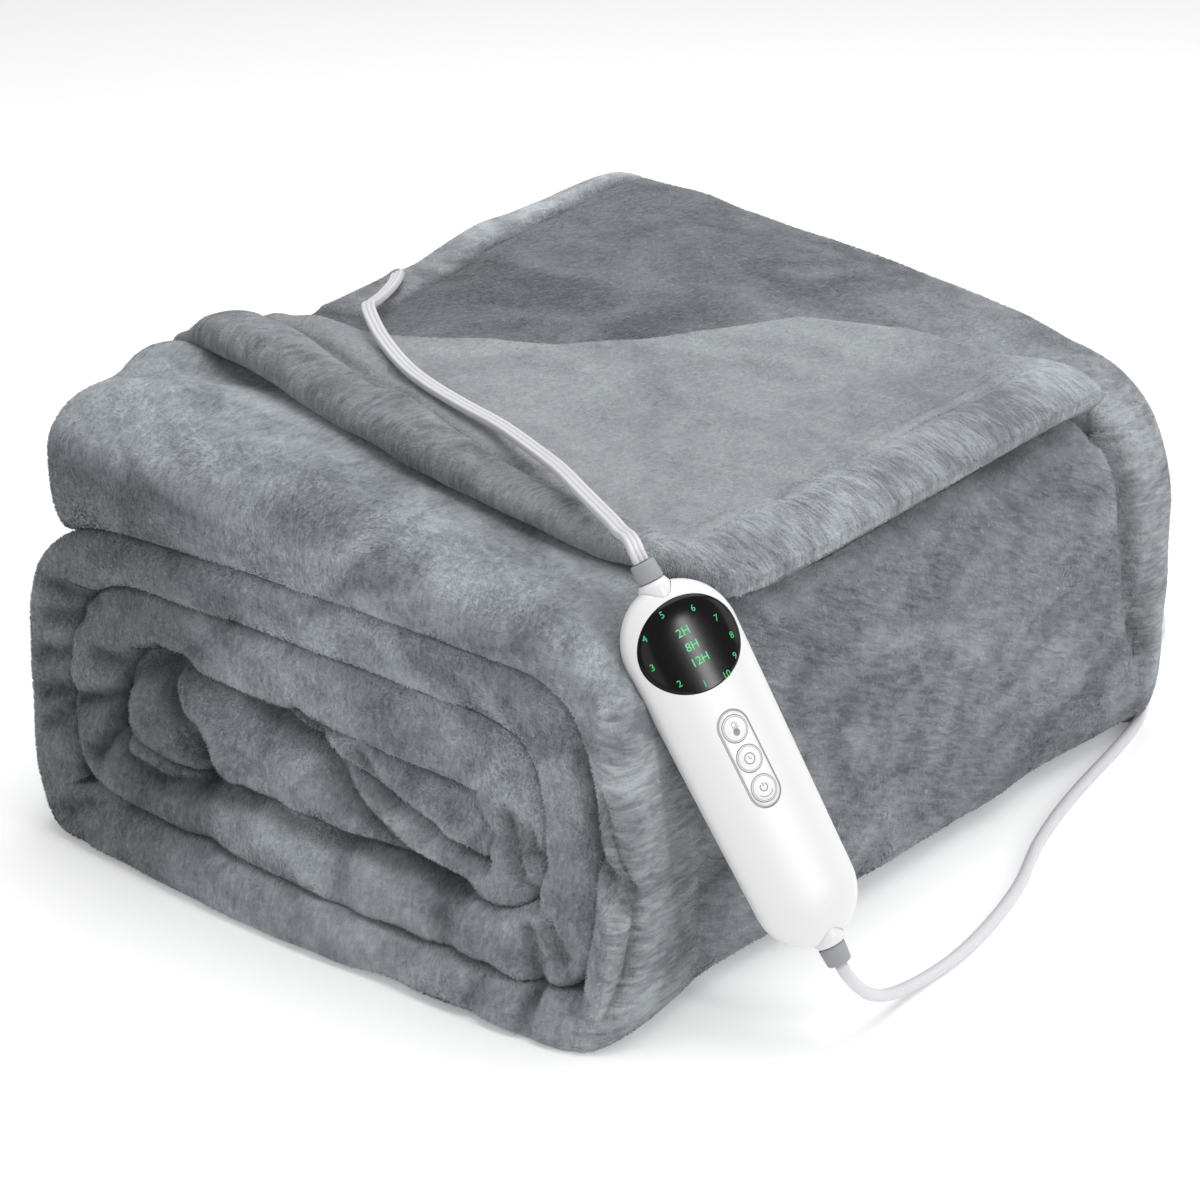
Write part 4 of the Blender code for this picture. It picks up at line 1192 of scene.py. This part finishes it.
def pill(length, width, middle, z, steps=20):
    ring = []
    for side in (1, -1):
        for k in range(steps + 1):
            angle = math.pi * k / steps + (0 if side > 0 else math.pi)
            ring.append((width / 2 * math.cos(angle),
                         middle + side * (length - width) / 2 + width / 2 * math.sin(angle), z))
    return ring


def cut(piece, cutter):
    """Cuts a shape out of a piece, and throws the shape away."""
    modifier = piece.modifiers.new("cut", "BOOLEAN")
    modifier.object = cutter
    modifier.operation = "DIFFERENCE"
    whole = bpy.data.meshes.new_from_object(
        piece.evaluated_get(bpy.context.evaluated_depsgraph_get()))
    piece.modifiers.clear()
    piece.data = whole
    bpy.data.objects.remove(cutter)


def turned(name, profile, end, finish, sides=48):
    """A piece turned about the cord's line at one end of the control."""
    rings = [[(radius * math.cos(math.tau * k / sides), end * (CONTROL_LENGTH / 2 + at),
               radius * math.sin(math.tau * k / sides)) for k in range(sides)]
             for at, radius in profile]
    return lofted(name, rings, finish, flip=end > 0)


def fine_grain(made, scale, height, spread):
    """Moulded surfaces: a faint orange-peel and a slightly uneven gloss."""
    tree, shader = made.node_tree, principled(made)
    rough = shader.inputs["Roughness"].default_value
    where = add_node(tree, "ShaderNodeTexCoord")
    grain = add_node(tree, "ShaderNodeTexNoise", {
        "Vector": where.outputs["Object"], "Scale": scale, "Detail": 3.0})
    gloss = add_node(tree, "ShaderNodeMapRange", {
        "Value": grain.outputs["Fac"], "To Min": rough - spread, "To Max": rough + spread})
    bump = add_node(tree, "ShaderNodeBump", {
        "Height": grain.outputs["Fac"], "Strength": 0.25, "Distance": height})
    wire(shader, {"Roughness": gloss.outputs["Result"], "Normal": bump.outputs["Normal"]})
    return made


white_plastic = fine_grain(plain_material("white_plastic", (0.66, 0.66, 0.665), 0.36),
                           900.0, 0.00004, 0.05)
wire(principled(white_plastic), {"Coat Weight": 0.15, "Coat Roughness": 0.25})
SHELL_SHARP, SHARP = math.radians(32), math.radians(50)      # turns past these stay sharp
# Profiles turned about the cord's line: distance past the control's end, radius.
NECK = ((-6, 6.8), (-2, 6.8), (-0.4, 6.75), (0.2, 6.3), (1.2, 5.85), (1.6, 5.4))
SOCKET = ((-6.3, 7.1), (0.0, 7.1), (1.9, 6.6))
front_shell = shell("control_front_shell", 1, white_plastic)
back_shell = shell("control_back_shell", -1, white_plastic)
cut(front_shell, lofted("lens_recess", [
    oval(LENS_ALONG + 2 * FIT, LENS_ACROSS + 2 * FIT, LENS_MIDDLE, z)
    for z in (LENS_BACK - FIT, ABOVE_ALL)], None))
cut(front_shell, lofted("keypad_recess", [
    pill(PAD_LENGTH + 2 * FIT, PAD_WIDTH + 2 * FIT, PAD_MIDDLE, z)
    for z in (PAD_BACK - FIT, ABOVE_ALL)], None))
for end in (1, -1):
    for half_shell in (front_shell, back_shell):
        cut(half_shell, turned("neck_socket", SOCKET, end, None))
for half_shell, node in ((front_shell, "handset_front"), (back_shell, "handset_back")):
    half_shell.data.shade_smooth()
    half_shell.data.set_sharp_from_angle(angle=SHELL_SHARP)
    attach(half_shell, "base")
    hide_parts(node)


# ---- the necks and the grey reliefs ----------------------------------------
# A short white neck, held between the shells, and a grey rubber sleeve on it
# carry each cord in.
RELIEF = ((1.9, 5.2), (2.05, 5.55), (2.4, 5.7), (5.5, 5.5), (9, 5.25), (9.6, 5.05), (10, 4.6))
grey_rubber = fine_grain(plain_material("grey_rubber", (0.27, 0.275, 0.29), 0.55), 1400.0, 0.00005, 0.08)
for end, place in ((1, "top"), (-1, "low")):
    for kind, profile, finish, slot in (("neck", NECK, white_plastic, "white_plastic"),
                                        ("relief", RELIEF, grey_rubber, "grey_rubber")):
        sleeve = turned(f"{place}_{kind}", profile, end, finish)
        sleeve.data.set_sharp_from_angle(angle=SHARP)
        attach(sleeve, "base")
        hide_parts(f"{kind}_{place}")


# ---- the display -----------------------------------------------------------
# A black gloss lens, flush with the crown, over green figures: the heat steps
# 1 to 10 round its rim and three timer settings down its middle.
LENS_RINGS, LENS_SIDES, LENS_BEVEL = 12, 72, 0.25
black_gloss = fine_grain(plain_material("black_gloss", (0.002, 0.002, 0.002), 0.17), 300.0, 0.00001, 0.02)
wire(principled(black_gloss), {"Specular IOR Level": 0.20})


def lens_ring(share, inset=0.0, sink=0.0):
    """An oval on the crown, at a share of the lens's size."""
    return [(x, y, face_height(x, y) - sink) for x, y, z in oval(
        LENS_ALONG * share - inset, LENS_ACROSS * share - inset, LENS_MIDDLE, 0, LENS_SIDES)]


rings = [oval(LENS_ALONG, LENS_ACROSS, LENS_MIDDLE, LENS_BACK, LENS_SIDES),
         lens_ring(1, sink=LENS_BEVEL), lens_ring(1, inset=0.4)]
rings += [lens_ring(1 - k / LENS_RINGS) for k in range(1, LENS_RINGS)]
lens = lofted("display_window", rings, black_gloss)
lens.data.set_sharp_from_angle(angle=SHARP)
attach(lens, "base")
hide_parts("display_lens")

PRINT_LIFT = 0.05
RIM_FIGURES = (("1", -2.8, 36.6), ("2", -12.3, 41.4), ("3", -19.0, 52.0), ("4", -16.6, 63.4),
               ("5", -5.8, 68.6), ("6", 7.3, 65.2), ("7", 14.6, 57.2), ("8", 17.6, 48.2),
               ("9", 14.6, 40.4), ("10", 7.4, 35.6))
HOUR_FIGURES = (("2H", -1.3, 58.9), ("8H", -0.5, 52.3), ("12H", -0.1, 45.9))
RIM_FIGURE_SIZE, HOUR_FIGURE_SIZE = 3.9, 5.0


def figures(name, rows, size, finish):
    """Figures laid on the crown of the control's face, as one flat mesh."""
    points, faces = [], []
    for body, x, y in rows:
        curve = bpy.data.curves.new(name, "FONT")
        curve.body = body
        curve.size = size
        curve.align_x, curve.align_y = "CENTER", "CENTER"
        curve.resolution_u = 3
        holder = bpy.data.objects.new(name, curve)
        flat = bpy.data.meshes.new_from_object(holder)
        start = len(points)
        for vertex in flat.vertices:
            px, py = x + vertex.co.x, y + vertex.co.y
            points.append(control_pose @ Vector((px, py, face_height(px, py) + PRINT_LIFT)))
        faces += [tuple(start + v for v in p.vertices) for p in flat.polygons]
        bpy.data.objects.remove(holder)
        bpy.data.curves.remove(curve)
    return mesh_piece(name, points, faces, finish)


def lit_green(name, strength):
    """Figures that glow green, a little unevenly."""
    made = plain_material(name, (0.02, 0.30, 0.10), 0.4)
    tree = made.node_tree
    where = add_node(tree, "ShaderNodeTexCoord")
    cells = add_node(tree, "ShaderNodeTexNoise", {"Vector": where.outputs["Object"], "Scale": 700.0})
    tint = add_node(tree, "ShaderNodeMix", {
        "Factor": cells.outputs["Fac"], "A": (0.01, 0.22, 0.07, 1), "B": (0.05, 0.62, 0.22, 1)},
        data_type="RGBA")
    wire(principled(made), {"Emission Color": tint.outputs["Result"],
                            "Emission Strength": strength})
    return made


for name, rows, size, strength in (("rim_figures", RIM_FIGURES, RIM_FIGURE_SIZE, 0.55),
                                   ("hour_figures", HOUR_FIGURES, HOUR_FIGURE_SIZE, 1.0)):
    lit = figures(name, rows, size, lit_green(name + "_green", strength))
    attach(lit, "base")


# ---- the keypad ------------------------------------------------------------
# A white pill-shaped plate in its recess, with three round keys that push in.
# Thin grey printed lines ring the plate and each key, and each key has an icon.
KEY_PITCH, KEY_WIDTH, KEY_FRONT, KEY_TRAVEL = 13.2, 11.0, 10.1, 0.6
PAD_FRONT = 9.7
KEY_EDGE = 0.35
printed_grey = fine_grain(plain_material("printed_grey", (0.24, 0.24, 0.25), 0.5),
                          1500.0, 0.00001, 0.05)
plate = lofted("keypad_plate", [
    pill(PAD_LENGTH, PAD_WIDTH, PAD_MIDDLE, PAD_BACK),
    pill(PAD_LENGTH, PAD_WIDTH, PAD_MIDDLE, PAD_FRONT - 0.2),
    pill(PAD_LENGTH - 0.4, PAD_WIDTH - 0.4, PAD_MIDDLE, PAD_FRONT)], white_plastic)
for index in range(3):
    cut(plate, lofted("key_hole", [
        oval(KEY_WIDTH + 2 * FIT, KEY_WIDTH + 2 * FIT, PAD_MIDDLE + KEY_PITCH * (1 - index), z, 48)
        for z in (0, ABOVE_ALL)], None))
plate.data.shade_smooth()
plate.data.set_sharp_from_angle(angle=SHARP)
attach(plate, "base")
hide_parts("button_panel")


def printed(name, strips, height, finish):
    """Flat printed shapes: each strip is an inner and an outer line of points."""
    points, faces = [], []
    for inner, outer, closed in strips:
        start = len(points)
        for a, b in zip(inner, outer):
            points += [control_pose @ Vector((*a[:2], height)), control_pose @ Vector((*b[:2], height))]
        count = len(inner)
        for k in range(count if closed else count - 1):
            j = (k + 1) % count
            faces.append((start + 2 * k, start + 2 * k + 1, start + 2 * j + 1, start + 2 * j))
    return mesh_piece(name, points, faces, finish)


def arc_strip(x, y, radius, width, start, end, steps=40):
    angles = [math.radians(start + (end - start) * k / steps) for k in range(steps + 1)]
    inner, outer = ([(x + reach * math.cos(a), y + reach * math.sin(a)) for a in angles]
                    for reach in (radius - width / 2, radius + width / 2))
    return inner, outer, False


def bar_strip(x0, y0, x1, y1, width):
    side = Vector((y1 - y0, x0 - x1)).normalized() * width / 2
    return ([(x0 - side.x, y0 - side.y), (x1 - side.x, y1 - side.y)],
            [(x0 + side.x, y0 + side.y), (x1 + side.x, y1 + side.y)], False)


ring_strips = [(pill(PAD_LENGTH - 1.1, PAD_WIDTH - 1.1, PAD_MIDDLE, 0),
                pill(PAD_LENGTH - 0.3, PAD_WIDTH - 0.3, PAD_MIDDLE, 0), True)]
key_lines = printed("keypad_outline", ring_strips, PAD_FRONT + PRINT_LIFT, printed_grey)
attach(key_lines, "base")

for index in range(3):
    middle = PAD_MIDDLE + KEY_PITCH * (1 - index)
    low = PAD_BACK + KEY_TRAVEL + FIT
    rings = [oval(KEY_WIDTH, KEY_WIDTH, middle, low, 48),
             oval(KEY_WIDTH, KEY_WIDTH, middle, KEY_FRONT - KEY_EDGE, 48)]
    for k in range(1, 5):
        angle = math.pi / 2 * k / 4
        shrink = 2 * KEY_EDGE * (1 - math.cos(angle))
        rings.append(oval(KEY_WIDTH - shrink, KEY_WIDTH - shrink, middle,
                          KEY_FRONT - KEY_EDGE * (1 - math.sin(angle)), 48))
    key = lofted(f"key_{index + 1}_cap", rings, white_plastic)
    key.data.set_sharp_from_angle(angle=SHARP)
    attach(key, f"key_{index + 1}")
    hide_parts(f"button_{index + 1}")
    if index == 0:              # a thermometer
        strips = [arc_strip(0, middle - 1.5, 0.76, 1.48, 0, 360),
                  arc_strip(0, middle + 1.9, 0.85, 0.3, 0, 180, 12),
                  bar_strip(-0.85, middle + 1.9, -0.85, middle - 0.9, 0.3),
                  bar_strip(0.85, middle - 0.9, 0.85, middle + 1.9, 0.3),
                  bar_strip(0, middle - 1.2, 0, middle + 1.0, 0.45)]
        strips += [bar_strip(1.2, middle + at, 1.9, middle + at, 0.25) for at in (0.1, 0.9, 1.7)]
    elif index == 1:            # a clock
        strips = [arc_strip(0, middle, 2.2, 0.5, 0, 360),
                  bar_strip(-0.2, middle - 0.1, -0.2, middle + 1.3, 0.35),
                  bar_strip(-0.2, middle - 0.1, 0.9, middle - 0.1, 0.35)]
    else:                       # the power sign over a curved line
        strips = [arc_strip(0, middle + 0.5, 1.6, 0.5, 125, 415),
                  bar_strip(0, middle + 0.7, 0, middle + 2.5, 0.5),
                  arc_strip(0, middle + 0.2, 3.7, 0.32, 215, 325)]
    strips.append(arc_strip(0, middle, KEY_WIDTH / 2 - 0.55, 0.22, 0, 360))
    icon = printed(f"key_{index + 1}_icon", strips, KEY_FRONT + PRINT_LIFT, printed_grey)
    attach(icon, f"key_{index + 1}")


# ---- the plug --------------------------------------------------------------
# A plain moulded two-pin plug with its tapered relief, in the lead's white
# plastic, and two plated pins. They are out of the photograph's sight.
plug_white = fine_grain(plain_material("plug_white", (0.62, 0.62, 0.63), 0.42),
                        1100.0, 0.00006, 0.06)
plated_pin = fine_grain(plain_material("plated_pin", (0.62, 0.6, 0.56), 0.26, metallic=1.0),
                        2200.0, 0.00001, 0.06)
for node, finish in (("plug_body", plug_white), ("plug_relief", plug_white),
                     ("plug_pin_1", plated_pin), ("plug_pin_2", plated_pin)):
    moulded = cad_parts[node]
    for index in range(len(moulded.data.materials)):
        moulded.data.materials[index] = finish
    if not moulded.data.materials:
        moulded.data.materials.append(finish)
